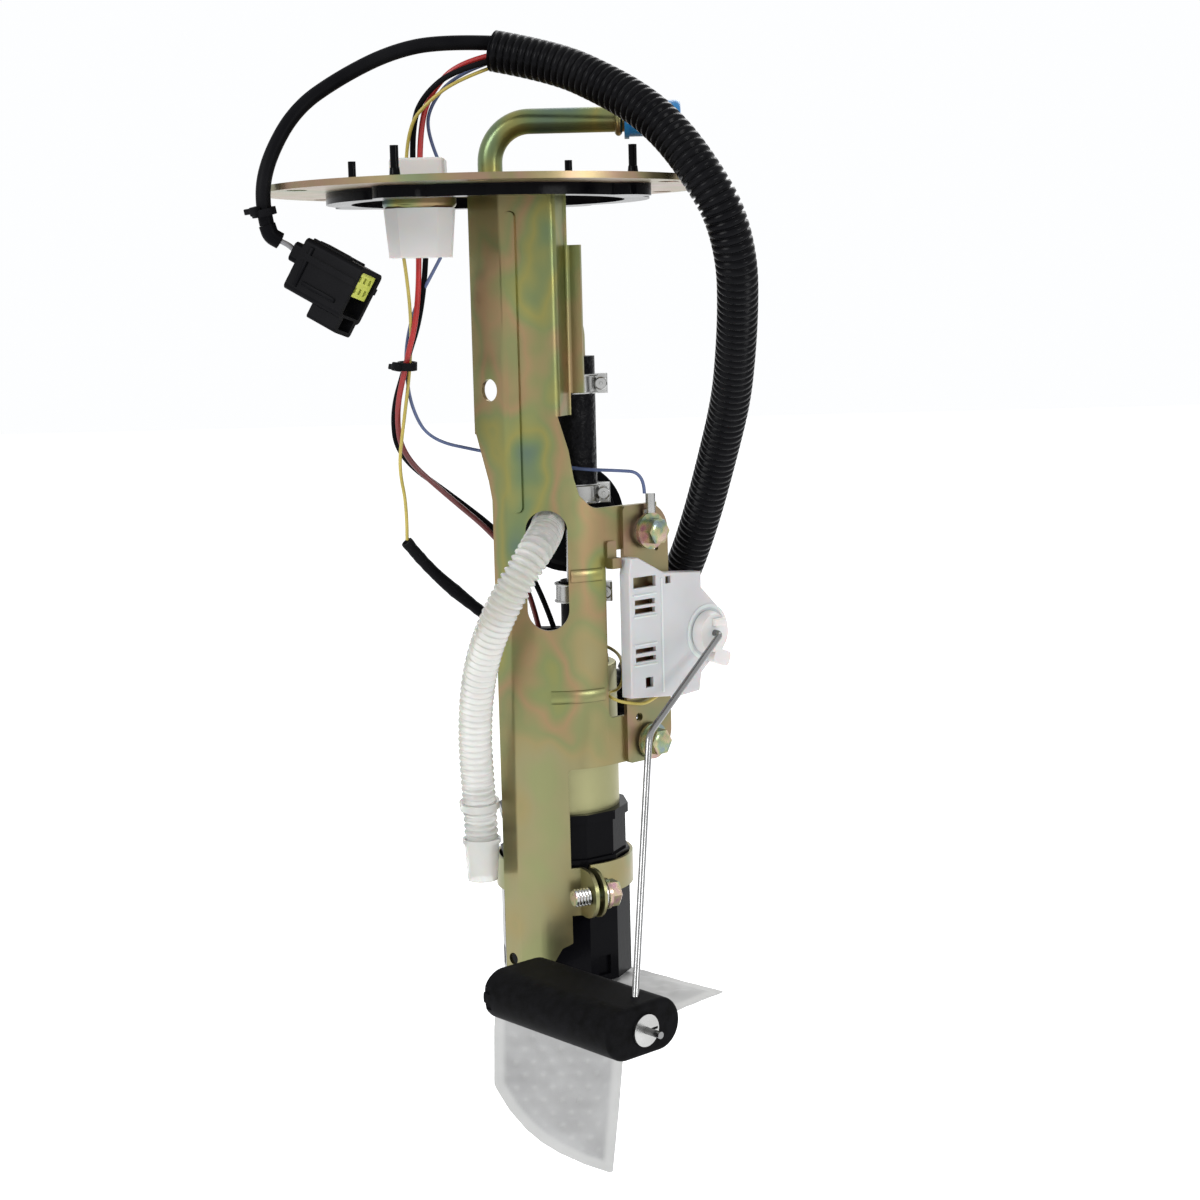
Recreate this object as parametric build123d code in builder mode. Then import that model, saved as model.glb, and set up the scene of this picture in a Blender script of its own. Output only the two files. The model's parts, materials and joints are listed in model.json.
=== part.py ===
from build123d import *
import math
import os

os.makedirs("parts", exist_ok=True)

# ---------------------------------------------------------------- frame
# Origin: centre of the flange on its underside. +Z points out of the tank, +X along the
# outlet tube, +Y to the back of the module. All lengths are millimetres.

# flange and seal
FLANGE_R = 73.0
FLANGE_T = 2.0
BOLT_EDGE = 7.0
BOLT_CIRCLE_R = FLANGE_R - BOLT_EDGE
BOLT_HOLE_R = 3.25
BOLT_COUNT = 6
BEAD_R = FLANGE_R - 15.0
GASKET_T = 3.6
GASKET_IN_R = 44.0
GASKET_W = 8.0
GASKET_OUT_R = GASKET_IN_R + GASKET_W
LOBE_R = 10.0
TAIL_CIRCLE_R = GASKET_OUT_R + 1.0
TAIL_R = 1.3
TAIL_TOP = 12.0
TAIL_FIRST_ANGLE = -29.0
TAIL_COUNT = 4
FIT = 0.1

# electrical bulkhead
CONN_X = -21.3
CONN_Y = -12.0
CONN_NECK_R = 8.7
CONN_TOP = 10.0
CONN_BOTTOM = -21.0
COLLAR_OUT_R = CONN_NECK_R + 3.0
COLLAR_H = 5.6

# outlet tube and fuel line
TUBE_R = 4.0
TUBE_X = 0.9
TUBE_Z = 21.7
TUBE_END_X = 46.0
TUBE_BEND_R = 13.0
LINE_X = 26.0
LINE_Y = 4.0
HOSE_WALL = 3.0
HOSE_TOP = -53.6
HOSE_BOTTOM = -102.0
CAP_WALL = 1.6
CAP_LENGTH = 18.0

# pump
PUMP_X = 18.8
PUMP_Y = 4.0
PUMP_R = 19.0
SHELL_T = 1.2
PUMP_TOP = -156.0
PUMP_BOTTOM = -255.0
SLEEVE_R = 22.0
SLEEVE_TOP = -203.0
SLEEVE_BOTTOM = -260.5
SLEEVE_SIDES = 12
SLEEVE_LIP = 3.0
SHAFT_R = 1.6
ARMATURE_R = 13.0
MAGNET_T = 3.0
IMPELLER_R = 15.5
NOZZLE_R = 5.5

# hanger bracket, a folded sheet that wraps the front of the pump
SHEET = 1.3
WRAP_GAP = 0.1
WEB_AZ = -20.0
WING_AZ = -45.0
CHANNEL_AZ = 5.0
WALL_AZ = 70.0
ARM_AZ = 42.0
RIDGE_X = 4.0
WING_END_X = -6.0
STRIP_END_X = -1.2
CHANNEL_BOTTOM = -72.0
WALL_DEPTH = 10.0
TAB_WIDTH = 5.5
TAB_TOP = -18.0
TAB_BOTTOM = -65.0
ARM_TOP = -102.0
ARM_BOTTOM = -187.0
ARM_REACH = 24.0
WEB_EDGE_X = 21.3
BRACKET_BOTTOM = -257.5
SLOT_X = 16.2
SLOT_Z = -121.5
SLOT_LENGTH = 39.0
SLOT_WIDTH = 13.5
RIB_H = 0.9

# clamp that closes round the pump
EAR_AZ = 27.0
EAR_TOP = -220.0
EAR_BOTTOM = -236.0
EAR_LENGTH = 11.5
EAR_HOLE = 6.6
EAR_BOLT_Z = -228.0
BRACKET_EAR_AZ = 15.0
STRAP_EAR_AZ = 22.5
STRAP_T = 1.0
STRAP_TOP = -219.5
STRAP_BOTTOM = -230.0
STRAP_WELD_AZ = -47.0
CLAMP_BOLT_R = 2.5
CLAMP_HEAD_H = 5.0

# level sender, laid out in the plane of the bracket arms: u along them, z up
PLATE_T = 1.5
PLATE_U = 7.4
PLATE_W = 20.0
PLATE_TOP = -102.0
PLATE_BOTTOM = -187.5
SCREW_U = 17.4
SCREW_TOP_Z = -110.8
SCREW_LOW_Z = -181.0
SCREW_R = 2.5
HEX_AF = 8.0
HEX_H = 5.0
HEAD_FLANGE_R = 6.0
HEAD_FLANGE_T = 1.2
WASHER_R = 5.0
WASHER_T = 1.0
WIRE_HOLE_U = 12.8
WIRE_HOLE_Z = -172.6
WIRE_HOLE_R = 1.5
HOUSING_BACK = 1.6
HOUSING_FRONT = 6.2
HOUSING_WALL = 1.4
PIVOT_U = 40.5
PIVOT_Z = -147.0
PIVOT_R = 3.0
RUN_GAP = 0.06
HUB_R = 7.4
HUB_GAP = 0.3
HUB_T = 3.2
WIPER_T = 0.4
WIPER_REACH = 17.0

# float and rod
ROD_R = 1.1
FLOAT_W = 30.0
FLOAT_H = 16.5
FLOAT_BACK = -5.0
FLOAT_FRONT = 55.0
FLOAT_U = -37.6
FLOAT_Z = -254.4

# strainer
SOCK_T = 4.0
SOCK_TOP = -261.5

# cords
CONDUIT_R = 6.4
RETURN_R = 5.6
CABLE_R = 2.3
WIRE_R = 0.92
THIN_WIRE_R = 0.56
SPLICE_R = 2.0
CUP_X = -8.0
CUP_Y = -14.5
CUP_TOP = -210.0
TIE_Z = -55.2


# ---------------------------------------------------------------- helpers
def around_pump(azimuth, radius):
    """A point at an azimuth about the pump's axis: 0 faces the front, +90 faces +X."""
    a = math.radians(azimuth)
    return (PUMP_X + radius * math.sin(a), PUMP_Y - radius * math.cos(a))


def facing_plane(azimuth, radius):
    """A plane tangent to a cylinder about the pump's axis: x runs sideways, y up, z outwards."""
    a = math.radians(azimuth)
    x, y = around_pump(azimuth, radius)
    return Plane(
        origin=(x, y, 0),
        x_dir=(math.cos(a), math.sin(a), 0),
        z_dir=(math.sin(a), -math.cos(a), 0),
    )


WRAP_IN_R = SLEEVE_R + WRAP_GAP
WRAP_OUT_R = WRAP_IN_R + SHEET
WRAP_MID_R = WRAP_IN_R + SHEET / 2


STRAP_IN_R = SLEEVE_R + WRAP_GAP
STRAP_MID_R = STRAP_IN_R + STRAP_T / 2


def upright_plane(azimuth, x, y):
    """A plane through (x, y) whose x runs outwards along an azimuth and whose y is up."""
    a = math.radians(azimuth)
    return Plane(
        origin=(x, y, 0),
        x_dir=(math.sin(a), -math.cos(a), 0),
        z_dir=(-math.cos(a), -math.sin(a), 0),
    )


def radial_plane(azimuth):
    """An upright plane through the pump's axis."""
    return upright_plane(azimuth, PUMP_X, PUMP_Y)


bracket_ear = upright_plane(EAR_AZ, *around_pump(BRACKET_EAR_AZ, WRAP_MID_R))
strap_ear = upright_plane(EAR_AZ, *around_pump(STRAP_EAR_AZ, STRAP_MID_R))
ear_step = bracket_ear.to_local_coords(strap_ear.origin)
EAR_PITCH = -ear_step.Z


def ear_sketch(plane, hole):
    """A round-cornered clamp ear with its bolt hole."""
    with BuildSketch(plane) as shape:
        with Locations((EAR_LENGTH / 2, (EAR_TOP + EAR_BOTTOM) / 2)):
            Rectangle(EAR_LENGTH, EAR_TOP - EAR_BOTTOM)
        fillet(shape.vertices().sort_by(Axis.X)[-2:], 7.6)
        with Locations((hole, EAR_BOLT_Z)):
            Circle(CLAMP_BOLT_R + FIT, mode=Mode.SUBTRACT)
    return shape.sketch


def sender_plane(off=0.0):
    """The bracket arms' outer face, moved outwards by off."""
    return facing_plane(ARM_AZ, WRAP_OUT_R + off)


def sender_point(u, z, off):
    """The place of a point given in the sender's own directions."""
    return sender_plane(off).from_local_coords(Vector(u, z, 0))


def cord_radii(points):
    """The largest smooth arc at each corner: 0.45 of its shorter run over tan(half the turn)."""
    spots = [Vector(*p) for p in points]
    radii = []
    for before, here, after in zip(spots, spots[1:], spots[2:]):
        run = min((here - before).length, (after - here).length)
        turn = math.radians((here - before).get_angle(after - here))
        radii.append(0.45 * run / math.tan(turn / 2))
    return radii


def cord_tube(label, points, radius):
    """A plain round cord along straight runs joined by tangent arcs."""
    radii = cord_radii(points)
    with BuildPart() as tube:
        with BuildLine() as path:
            FilletPolyline(*points, radius=radii)
        with BuildSketch(Plane(origin=path.line @ 0, z_dir=path.line % 0)):
            Circle(radius)
        sweep()
    length = path.wire().length
    section = math.pi * radius**2 * length
    print(
        f"{label}: length {length:.1f}, volume/section {tube.part.volume / section:.4f}, radii",
        [round(r, 1) for r in radii],
    )
    return tube


def cord(label, points, radius):
    """A cord in a node of its own."""
    finish(cord_tube(label, points, radius), label)


def finish(piece, label):
    """Name a piece and write it."""
    piece.part.label = label
    export_step(piece.part, f"parts/{label}.step")


# ---------------------------------------------------------------- flange
tail_angles = [math.radians(TAIL_FIRST_ANGLE + i * 360 / TAIL_COUNT) for i in range(TAIL_COUNT)]
tail_spots = [(TAIL_CIRCLE_R * math.cos(a), TAIL_CIRCLE_R * math.sin(a)) for a in tail_angles]

with BuildPart() as flange_plate:
    with BuildSketch():
        Circle(FLANGE_R)
        with PolarLocations(BOLT_CIRCLE_R, BOLT_COUNT, start_angle=30):
            Circle(BOLT_HOLE_R, mode=Mode.SUBTRACT)
        with Locations(tail_spots):
            Circle(TAIL_R + FIT, mode=Mode.SUBTRACT)
        with Locations((CONN_X, CONN_Y)):
            Circle(CONN_NECK_R + FIT, mode=Mode.SUBTRACT)
        with Locations((TUBE_X, 0)):
            Circle(TUBE_R + FIT / 2, mode=Mode.SUBTRACT)
    extrude(amount=FLANGE_T)
    # pressed stiffening bead on the outside face
    with BuildSketch(Plane.XZ):
        with Locations((BEAD_R, FLANGE_T)):
            Ellipse(2.0, 0.8)
        with Locations((BEAD_R, FLANGE_T / 2)):
            Rectangle(6, FLANGE_T, mode=Mode.SUBTRACT)
    revolve(axis=Axis.Z)
finish(flange_plate, "flange_plate")

with BuildPart() as flange_gasket:
    with BuildSketch(Plane.XY.offset(-GASKET_T)):
        Circle(GASKET_OUT_R)
        with PolarLocations(TAIL_CIRCLE_R - 5, TAIL_COUNT, start_angle=TAIL_FIRST_ANGLE):
            Circle(LOBE_R)
        Circle(GASKET_IN_R, mode=Mode.SUBTRACT)
    extrude(amount=GASKET_T)
    # pull-through tails that hold the seal to the flange
    with BuildSketch(Plane.XY):
        with Locations(tail_spots):
            Circle(TAIL_R)
    extrude(amount=TAIL_TOP)
    with Locations([(x, y, FLANGE_T) for x, y in tail_spots]):
        Cone(2.1, TAIL_R, 2.4, align=(Align.CENTER, Align.CENTER, Align.MIN))
finish(flange_gasket, "flange_gasket")

# ---------------------------------------------------------------- electrical bulkhead
with BuildPart() as bulkhead_connector:
    # tapered, corner-cut body inside the tank
    with BuildSketch(Plane.XY.offset(CONN_BOTTOM)):
        with Locations((CONN_X, CONN_Y)):
            Rectangle(2 * CONN_NECK_R + 2.0, 2 * CONN_NECK_R)
        chamfer(vertices(), 4.0)
    with BuildSketch(Plane.XY.offset(-COLLAR_H)):
        with Locations((CONN_X, CONN_Y)):
            Rectangle(2 * CONN_NECK_R + 4.6, 2 * CONN_NECK_R + 2.6)
        chamfer(vertices(), 4.6)
    loft()
    # round neck through collar and flange
    with BuildSketch(Plane.XY.offset(-COLLAR_H)):
        with Locations((CONN_X, CONN_Y)):
            Circle(CONN_NECK_R)
    extrude(amount=COLLAR_H + FLANGE_T)
    # block outside
    with BuildSketch(Plane.XY.offset(FLANGE_T)):
        with Locations((CONN_X, CONN_Y)):
            RectangleRounded(2 * CONN_NECK_R, 2 * CONN_NECK_R - 2.4, 2.0)
    extrude(amount=CONN_TOP - FLANGE_T)
    fillet(bulkhead_connector.faces().sort_by(Axis.Z)[-1].edges(), 0.8)
finish(bulkhead_connector, "bulkhead_connector")

with BuildPart() as connector_collar:
    with BuildSketch(Plane.XY.offset(-COLLAR_H)):
        with Locations((CONN_X, CONN_Y)):
            Circle(COLLAR_OUT_R)
            Circle(CONN_NECK_R + FIT, mode=Mode.SUBTRACT)
    extrude(amount=COLLAR_H)
    fillet(connector_collar.faces().sort_by(Axis.Z)[0].outer_wire().edges(), 1.5)
finish(connector_collar, "connector_collar")

# ---------------------------------------------------------------- outlet tube and line
tube_route = [
    (TUBE_END_X, 0, TUBE_Z),
    (TUBE_X, 0, TUBE_Z),
    (TUBE_X, 0, -13.0),
    (LINE_X, LINE_Y, -43.0),
    (LINE_X, LINE_Y, HOSE_TOP - 10),
]
with BuildPart() as outlet_tube:
    with BuildLine() as path:
        FilletPolyline(*tube_route, radius=[TUBE_BEND_R, TUBE_BEND_R, TUBE_BEND_R])
    with BuildSketch(Plane(origin=path.line @ 0, z_dir=path.line % 0)):
        Circle(TUBE_R)
        Circle(TUBE_R - 0.9, mode=Mode.SUBTRACT)
    sweep()
    # bead behind the quick connector end
    with BuildSketch(Plane.XZ):
        with Locations((TUBE_END_X - 3.5, TUBE_Z + TUBE_R - 0.4)):
            Ellipse(1.3, 1.7)
    revolve(axis=Axis((0, 0, TUBE_Z), (1, 0, 0)))
    with BuildSketch(Plane.YZ.offset(TUBE_END_X - 6)):
        with Locations((0, TUBE_Z)):
            Circle(TUBE_R - 0.9)
    extrude(amount=8, mode=Mode.SUBTRACT)
finish(outlet_tube, "outlet_tube")

cap_seat_x = TUBE_END_X - 1.6
with BuildPart() as tube_cap:
    with BuildSketch(Plane.YZ.offset(cap_seat_x)):
        with Locations((0, TUBE_Z)):
            Circle(TUBE_R + CAP_WALL)
    extrude(amount=CAP_LENGTH)
    fillet(tube_cap.faces().sort_by(Axis.X)[-1].edges(), 1.2)
    with BuildSketch(Plane.YZ.offset(cap_seat_x)):
        with Locations((0, TUBE_Z)):
            Circle(TUBE_R + FIT / 2)
    extrude(amount=TUBE_END_X - cap_seat_x + 1, mode=Mode.SUBTRACT)
    with BuildSketch(Plane.YZ.offset(cap_seat_x)):
        with Locations((0, TUBE_Z)):
            Circle(TUBE_R + CAP_WALL + 0.7)
            Circle(TUBE_R + FIT, mode=Mode.SUBTRACT)
    extrude(amount=1.5)
finish(tube_cap, "tube_cap")

with BuildPart() as fuel_hose:
    with BuildSketch(Plane.XY.offset(HOSE_BOTTOM)):
        with Locations((LINE_X, LINE_Y)):
            Circle(TUBE_R + HOSE_WALL)
            Circle(TUBE_R + FIT / 2, mode=Mode.SUBTRACT)
    extrude(amount=HOSE_TOP - HOSE_BOTTOM)
finish(fuel_hose, "fuel_hose")

CLAMP_T = 0.7
clamp_levels = [HOSE_TOP - 9, HOSE_BOTTOM + 3.5, PUMP_TOP + 24.5]
with BuildPart() as hose_clamps:
    for level in clamp_levels:
        with BuildSketch(Plane.XY.offset(level - 3.2)):
            with Locations((LINE_X, LINE_Y)):
                Circle(TUBE_R + HOSE_WALL + FIT / 2 + CLAMP_T)
            with Locations((LINE_X + TUBE_R + HOSE_WALL + 1.6, LINE_Y)):
                RectangleRounded(5.0, 4.4, 0.8)
            with Locations((LINE_X, LINE_Y)):
                Circle(TUBE_R + HOSE_WALL + FIT / 2, mode=Mode.SUBTRACT)
        extrude(amount=6.4)
finish(hose_clamps, "hose_clamps")

# ---------------------------------------------------------------- pressure regulator
REG_X = 23.0
REG_Z = -108.0
REG_FACE_Y = 12.2
REG_RIM_R = 18.6
PORT_X = 16.4
PORT_Z = -108.4
PORT_TIP_Y = -4.0
PORT_R = 3.0

with BuildPart() as regulator_body:
    with BuildSketch(Plane.YZ.offset(REG_X)):
        with BuildLine():
            Polyline(
                (REG_FACE_Y, REG_Z),
                (REG_FACE_Y, REG_Z + 14.5),
                (REG_FACE_Y + 1.5, REG_Z + 16.0),
                (REG_FACE_Y + 6.0, REG_Z + 16.0),
                (REG_FACE_Y + 6.0, REG_Z + REG_RIM_R),
                (REG_FACE_Y + 9.0, REG_Z + REG_RIM_R),
                (REG_FACE_Y + 9.0, REG_Z + 14.0),
                (REG_FACE_Y + 14.0, REG_Z + 12.5),
                (REG_FACE_Y + 16.0, REG_Z + 8.0),
                (REG_FACE_Y + 16.0, REG_Z),
                close=True,
            )
        make_face()
    revolve(axis=Axis((REG_X, 0, REG_Z), (0, 1, 0)))
    # return port, which faces the bracket's slot
    with BuildSketch(Plane.XZ.offset(-REG_FACE_Y - 0.5)):
        with Locations((PORT_X, PORT_Z)):
            Circle(PORT_R)
    extrude(amount=REG_FACE_Y + 0.5 - PORT_TIP_Y)
    with BuildSketch(Plane.XZ.offset(-REG_FACE_Y - 0.5)):
        with Locations((PORT_X, PORT_Z)):
            Circle(PORT_R + 2.2)
    extrude(amount=3.5)
finish(regulator_body, "regulator_body")

FITTING_TOP = HOSE_BOTTOM + 9
PUMP_BARB_TOP = PUMP_TOP + 15.5
FITTING_BOTTOM = PUMP_BARB_TOP + 1.5
LOWER_HOSE_TOP = PUMP_TOP + 28.5
with BuildPart() as line_fitting:
    with BuildSketch(Plane.XY.offset(FITTING_BOTTOM)):
        with Locations((LINE_X, LINE_Y)):
            Circle(TUBE_R)
            Circle(TUBE_R - 1.0, mode=Mode.SUBTRACT)
    extrude(amount=FITTING_TOP - FITTING_BOTTOM)
    with BuildSketch(Plane.XZ.offset(-LINE_Y)):
        with Locations((LINE_X, -114.0)):
            Circle(3.6)
    extrude(amount=-(REG_FACE_Y - LINE_Y))
    with BuildSketch(Plane.XY.offset(FITTING_BOTTOM)):
        with Locations((LINE_X, LINE_Y)):
            Circle(TUBE_R - 1.0)
    extrude(amount=FITTING_TOP - FITTING_BOTTOM, mode=Mode.SUBTRACT)
finish(line_fitting, "line_fitting")

with BuildPart() as pump_hose:
    with BuildSketch(Plane.XY.offset(PUMP_TOP + 4.2)):
        with Locations((LINE_X, LINE_Y)):
            Circle(TUBE_R + HOSE_WALL - 0.8)
            Circle(TUBE_R + FIT / 2, mode=Mode.SUBTRACT)
    extrude(amount=LOWER_HOSE_TOP - PUMP_TOP - 4.2)
finish(pump_hose, "pump_hose")

# ---------------------------------------------------------------- pump
pump_axis = Axis((PUMP_X, PUMP_Y, 0), (0, 0, 1))
pump_centre = Location((PUMP_X, PUMP_Y))
bore_r = PUMP_R - SHELL_T

with BuildPart() as pump_shell:
    with BuildSketch(Plane.XY.offset(PUMP_BOTTOM)):
        with Locations(pump_centre):
            Circle(PUMP_R)
            Circle(bore_r, mode=Mode.SUBTRACT)
    extrude(amount=PUMP_TOP - PUMP_BOTTOM)
    # rolled-in edges that hold the two end caps
    with BuildSketch(Plane.XY.offset(PUMP_TOP)):
        with Locations(pump_centre):
            Circle(PUMP_R)
            Circle(bore_r - 1.2, mode=Mode.SUBTRACT)
    extrude(amount=0.9)
    fillet(pump_shell.faces().sort_by(Axis.Z)[-1].outer_wire().edges(), 0.7)
finish(pump_shell, "pump_shell")

CAP_DEPTH = 6.0
BEARING_DEPTH = 4.0
with BuildPart() as pump_top_cap:
    with BuildSketch(Plane.XY.offset(PUMP_TOP - CAP_DEPTH)):
        with Locations(pump_centre):
            Circle(bore_r - FIT / 2)
            Circle(SHAFT_R + RUN_GAP, mode=Mode.SUBTRACT)
    extrude(amount=CAP_DEPTH)
    with BuildSketch(Plane.XY.offset(PUMP_TOP - CAP_DEPTH + BEARING_DEPTH)):
        with Locations(pump_centre):
            Circle(bore_r - 1.4)
    extrude(amount=CAP_DEPTH - BEARING_DEPTH + 3.0)
    with BuildSketch(Plane.XY.offset(PUMP_TOP + 3.0)):
        with Locations((LINE_X, LINE_Y)):
            Circle(TUBE_R + 2.0)
    extrude(amount=1.2)
    with BuildSketch(Plane.XY.offset(PUMP_TOP + 4.2)):
        with Locations((LINE_X, LINE_Y)):
            Circle(TUBE_R)
    extrude(amount=PUMP_BARB_TOP - PUMP_TOP - 4.2)
    with BuildSketch(Plane.XY.offset(PUMP_BARB_TOP)):
        with Locations((LINE_X, LINE_Y)):
            Circle(TUBE_R - 1.4)
    extrude(amount=-6, mode=Mode.SUBTRACT)
finish(pump_top_cap, "pump_top_cap")

PLUG_X = 14.5
PLUG_Y = 12.0
BLADE_GAP = 5.0
blade_spots = [(PLUG_X - BLADE_GAP / 2, PLUG_Y), (PLUG_X + BLADE_GAP / 2, PLUG_Y)]
PLUG_BASE = PUMP_TOP + 3.0 + FIT
PLUG_TOP = PUMP_TOP + 11.5
with BuildPart() as pump_terminals:
    with BuildSketch(Plane.XY.offset(PUMP_TOP + 3.0)):
        with Locations(blade_spots):
            Rectangle(2.8, 0.8)
    extrude(amount=5.5)
finish(pump_terminals, "pump_terminals")

with BuildPart() as pump_plug:
    with BuildSketch(Plane.XY.offset(PLUG_BASE)):
        with Locations((PLUG_X, PLUG_Y)):
            RectangleRounded(11.0, 6.6, 1.2)
    extrude(amount=PLUG_TOP - PLUG_BASE)
    with BuildSketch(Plane.XY.offset(PLUG_BASE)):
        with Locations(blade_spots):
            Rectangle(2.8 + FIT, 0.8 + FIT)
    extrude(amount=5.6, mode=Mode.SUBTRACT)
    chamfer(pump_plug.faces().sort_by(Axis.Z)[-1].edges(), 0.7)
finish(pump_plug, "pump_plug")

IMPELLER_H = 3.4
INLET_H = 12.0
inlet_top = PUMP_BOTTOM + INLET_H
impeller_low = inlet_top + 0.4
impeller_high = impeller_low + IMPELLER_H
DIVIDER_H = 6.0
with BuildPart() as pump_inlet_cap:
    # inlet plate, with the nozzle that the strainer pushes onto
    with BuildSketch(Plane.XY.offset(PUMP_BOTTOM + 0.8)):
        with Locations(pump_centre):
            Circle(bore_r - FIT / 2)
    extrude(amount=INLET_H - 0.8)
    with BuildSketch(Plane.XY.offset(PUMP_BOTTOM + 0.8)):
        with Locations(pump_centre):
            Circle(NOZZLE_R)
    extrude(amount=SOCK_TOP - 5.0 - PUMP_BOTTOM - 0.8)
    with BuildSketch(Plane.XY.offset(SOCK_TOP - 5.0)):
        with Locations(pump_centre):
            Circle(NOZZLE_R - 1.5)
    extrude(amount=16, mode=Mode.SUBTRACT)
    # blind bearing for the shaft's foot
    with BuildSketch(Plane.XY.offset(inlet_top)):
        with Locations(pump_centre):
            Circle(SHAFT_R + RUN_GAP)
    extrude(amount=-BEARING_DEPTH, mode=Mode.SUBTRACT)
finish(pump_inlet_cap, "pump_inlet_cap")

divider_low = impeller_high + 0.4
with BuildPart() as pump_divider:
    with BuildSketch(Plane.XY.offset(divider_low)):
        with Locations(pump_centre):
            Circle(bore_r - FIT / 2)
            Circle(SHAFT_R + RUN_GAP, mode=Mode.SUBTRACT)
    extrude(amount=DIVIDER_H)
    # rim that carries it on the inlet plate, around the impeller
    with BuildSketch(Plane.XY.offset(inlet_top)):
        with Locations(pump_centre):
            Circle(bore_r - FIT / 2)
            Circle(IMPELLER_R + 0.5, mode=Mode.SUBTRACT)
    extrude(amount=divider_low - inlet_top)
finish(pump_divider, "pump_divider")

armature_low = divider_low + DIVIDER_H + 4.0
armature_high = PUMP_TOP - CAP_DEPTH - 6.0
with BuildPart() as pump_magnets:
    with BuildSketch(Plane.XY.offset(armature_low)):
        with Locations(pump_centre):
            Circle(bore_r - FIT / 2)
            Circle(bore_r - MAGNET_T, mode=Mode.SUBTRACT)
            Rectangle(12, 2 * PUMP_R, mode=Mode.SUBTRACT)
    extrude(amount=armature_high - armature_low)
finish(pump_magnets, "pump_magnets")

ARMATURE_SLOTS = 8
with BuildPart() as pump_armature:
    with BuildSketch(Plane.XY.offset(armature_low)):
        with Locations(pump_centre):
            Circle(ARMATURE_R)
            Circle(SHAFT_R, mode=Mode.SUBTRACT)
            with PolarLocations(ARMATURE_R - 1.5, ARMATURE_SLOTS):
                Rectangle(3.6, 1.8, mode=Mode.SUBTRACT)
    extrude(amount=armature_high - armature_low)
    with BuildSketch(Plane.XY.offset(armature_high)):
        with Locations(pump_centre):
            Circle(6.0)
            Circle(SHAFT_R, mode=Mode.SUBTRACT)
    extrude(amount=4.0)
finish(pump_armature, "pump_armature")

shaft_low = inlet_top - BEARING_DEPTH + 0.5
shaft_high = PUMP_TOP - CAP_DEPTH + BEARING_DEPTH - 0.5
with BuildPart() as pump_shaft:
    with BuildSketch(Plane.XY.offset(shaft_low)):
        with Locations(pump_centre):
            Circle(SHAFT_R)
    extrude(amount=shaft_high - shaft_low)
finish(pump_shaft, "pump_shaft")

IMPELLER_VANES = 12
with BuildPart() as pump_impeller:
    with BuildSketch(Plane.XY.offset(impeller_low)):
        with Locations(pump_centre):
            Circle(IMPELLER_R)
            Circle(SHAFT_R, mode=Mode.SUBTRACT)
            with PolarLocations(IMPELLER_R, IMPELLER_VANES):
                Rectangle(5.0, 2.4, mode=Mode.SUBTRACT)
    extrude(amount=IMPELLER_H)
finish(pump_impeller, "pump_impeller")

sleeve_in_r = PUMP_R + FIT / 2
with BuildPart() as pump_isolator:
    with BuildSketch(Plane.XY.offset(SLEEVE_BOTTOM)):
        with Locations(pump_centre):
            RegularPolygon(SLEEVE_R, SLEEVE_SIDES, rotation=22)
    extrude(amount=SLEEVE_TOP - SLEEVE_BOTTOM)
    # slimmer band between the top lip and the clamp
    with BuildSketch(Plane.XY.offset(STRAP_TOP + 1.5)):
        with Locations(pump_centre):
            Circle(SLEEVE_R + 1.0)
            RegularPolygon(SLEEVE_R - 1.0, SLEEVE_SIDES, rotation=22, mode=Mode.SUBTRACT)
    extrude(amount=SLEEVE_TOP - SLEEVE_LIP - STRAP_TOP - 1.5, mode=Mode.SUBTRACT)
    with BuildSketch(Plane.XY.offset(PUMP_BOTTOM - FIT / 2)):
        with Locations(pump_centre):
            Circle(sleeve_in_r)
    extrude(amount=SLEEVE_TOP - PUMP_BOTTOM + 1, mode=Mode.SUBTRACT)
    with BuildSketch(Plane.XY.offset(SLEEVE_BOTTOM)):
        with Locations(pump_centre):
            Circle(NOZZLE_R + 3.6)
    extrude(amount=6, mode=Mode.SUBTRACT)
    # cushioning windows round the foot
    window_h = 6.5
    with Locations(Location((PUMP_X, PUMP_Y, SLEEVE_BOTTOM + 5.5))):
        with PolarLocations(SLEEVE_R, 6, start_angle=-53):
            Box(4.0, 5.0, window_h, mode=Mode.SUBTRACT)
finish(pump_isolator, "pump_isolator")

# ---------------------------------------------------------------- hanger bracket
web_start = around_pump(WEB_AZ, WRAP_MID_R)
web_run = web_start[0] - RIDGE_X
ridge = (RIDGE_X, web_start[1] - web_run * math.tan(math.radians(WEB_AZ)))
wing_run = RIDGE_X - WING_END_X
wing_end = (WING_END_X, ridge[1] - wing_run * math.tan(math.radians(WING_AZ)))
channel_edge = around_pump(CHANNEL_AZ, WRAP_MID_R)
wall_end = (
    channel_edge[0] + WALL_DEPTH * math.cos(math.radians(WALL_AZ)),
    channel_edge[1] + WALL_DEPTH * math.sin(math.radians(WALL_AZ)),
)
tab_end = (
    wall_end[0] + TAB_WIDTH * math.cos(math.radians(WEB_AZ)),
    wall_end[1] + TAB_WIDTH * math.sin(math.radians(WEB_AZ)),
)
arm_start = around_pump(ARM_AZ, WRAP_MID_R)
arm_end = (
    arm_start[0] + ARM_REACH * math.cos(math.radians(ARM_AZ)),
    arm_start[1] + ARM_REACH * math.sin(math.radians(ARM_AZ)),
)
FOLD_R = 2.0
pump_xy = (PUMP_X, PUMP_Y)


def wrap_arc(azimuth):
    """The sheet's curved run about the pump, from the web to an azimuth."""
    return CenterArc(pump_xy, WRAP_MID_R, WEB_AZ - 90, azimuth - WEB_AZ)


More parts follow.
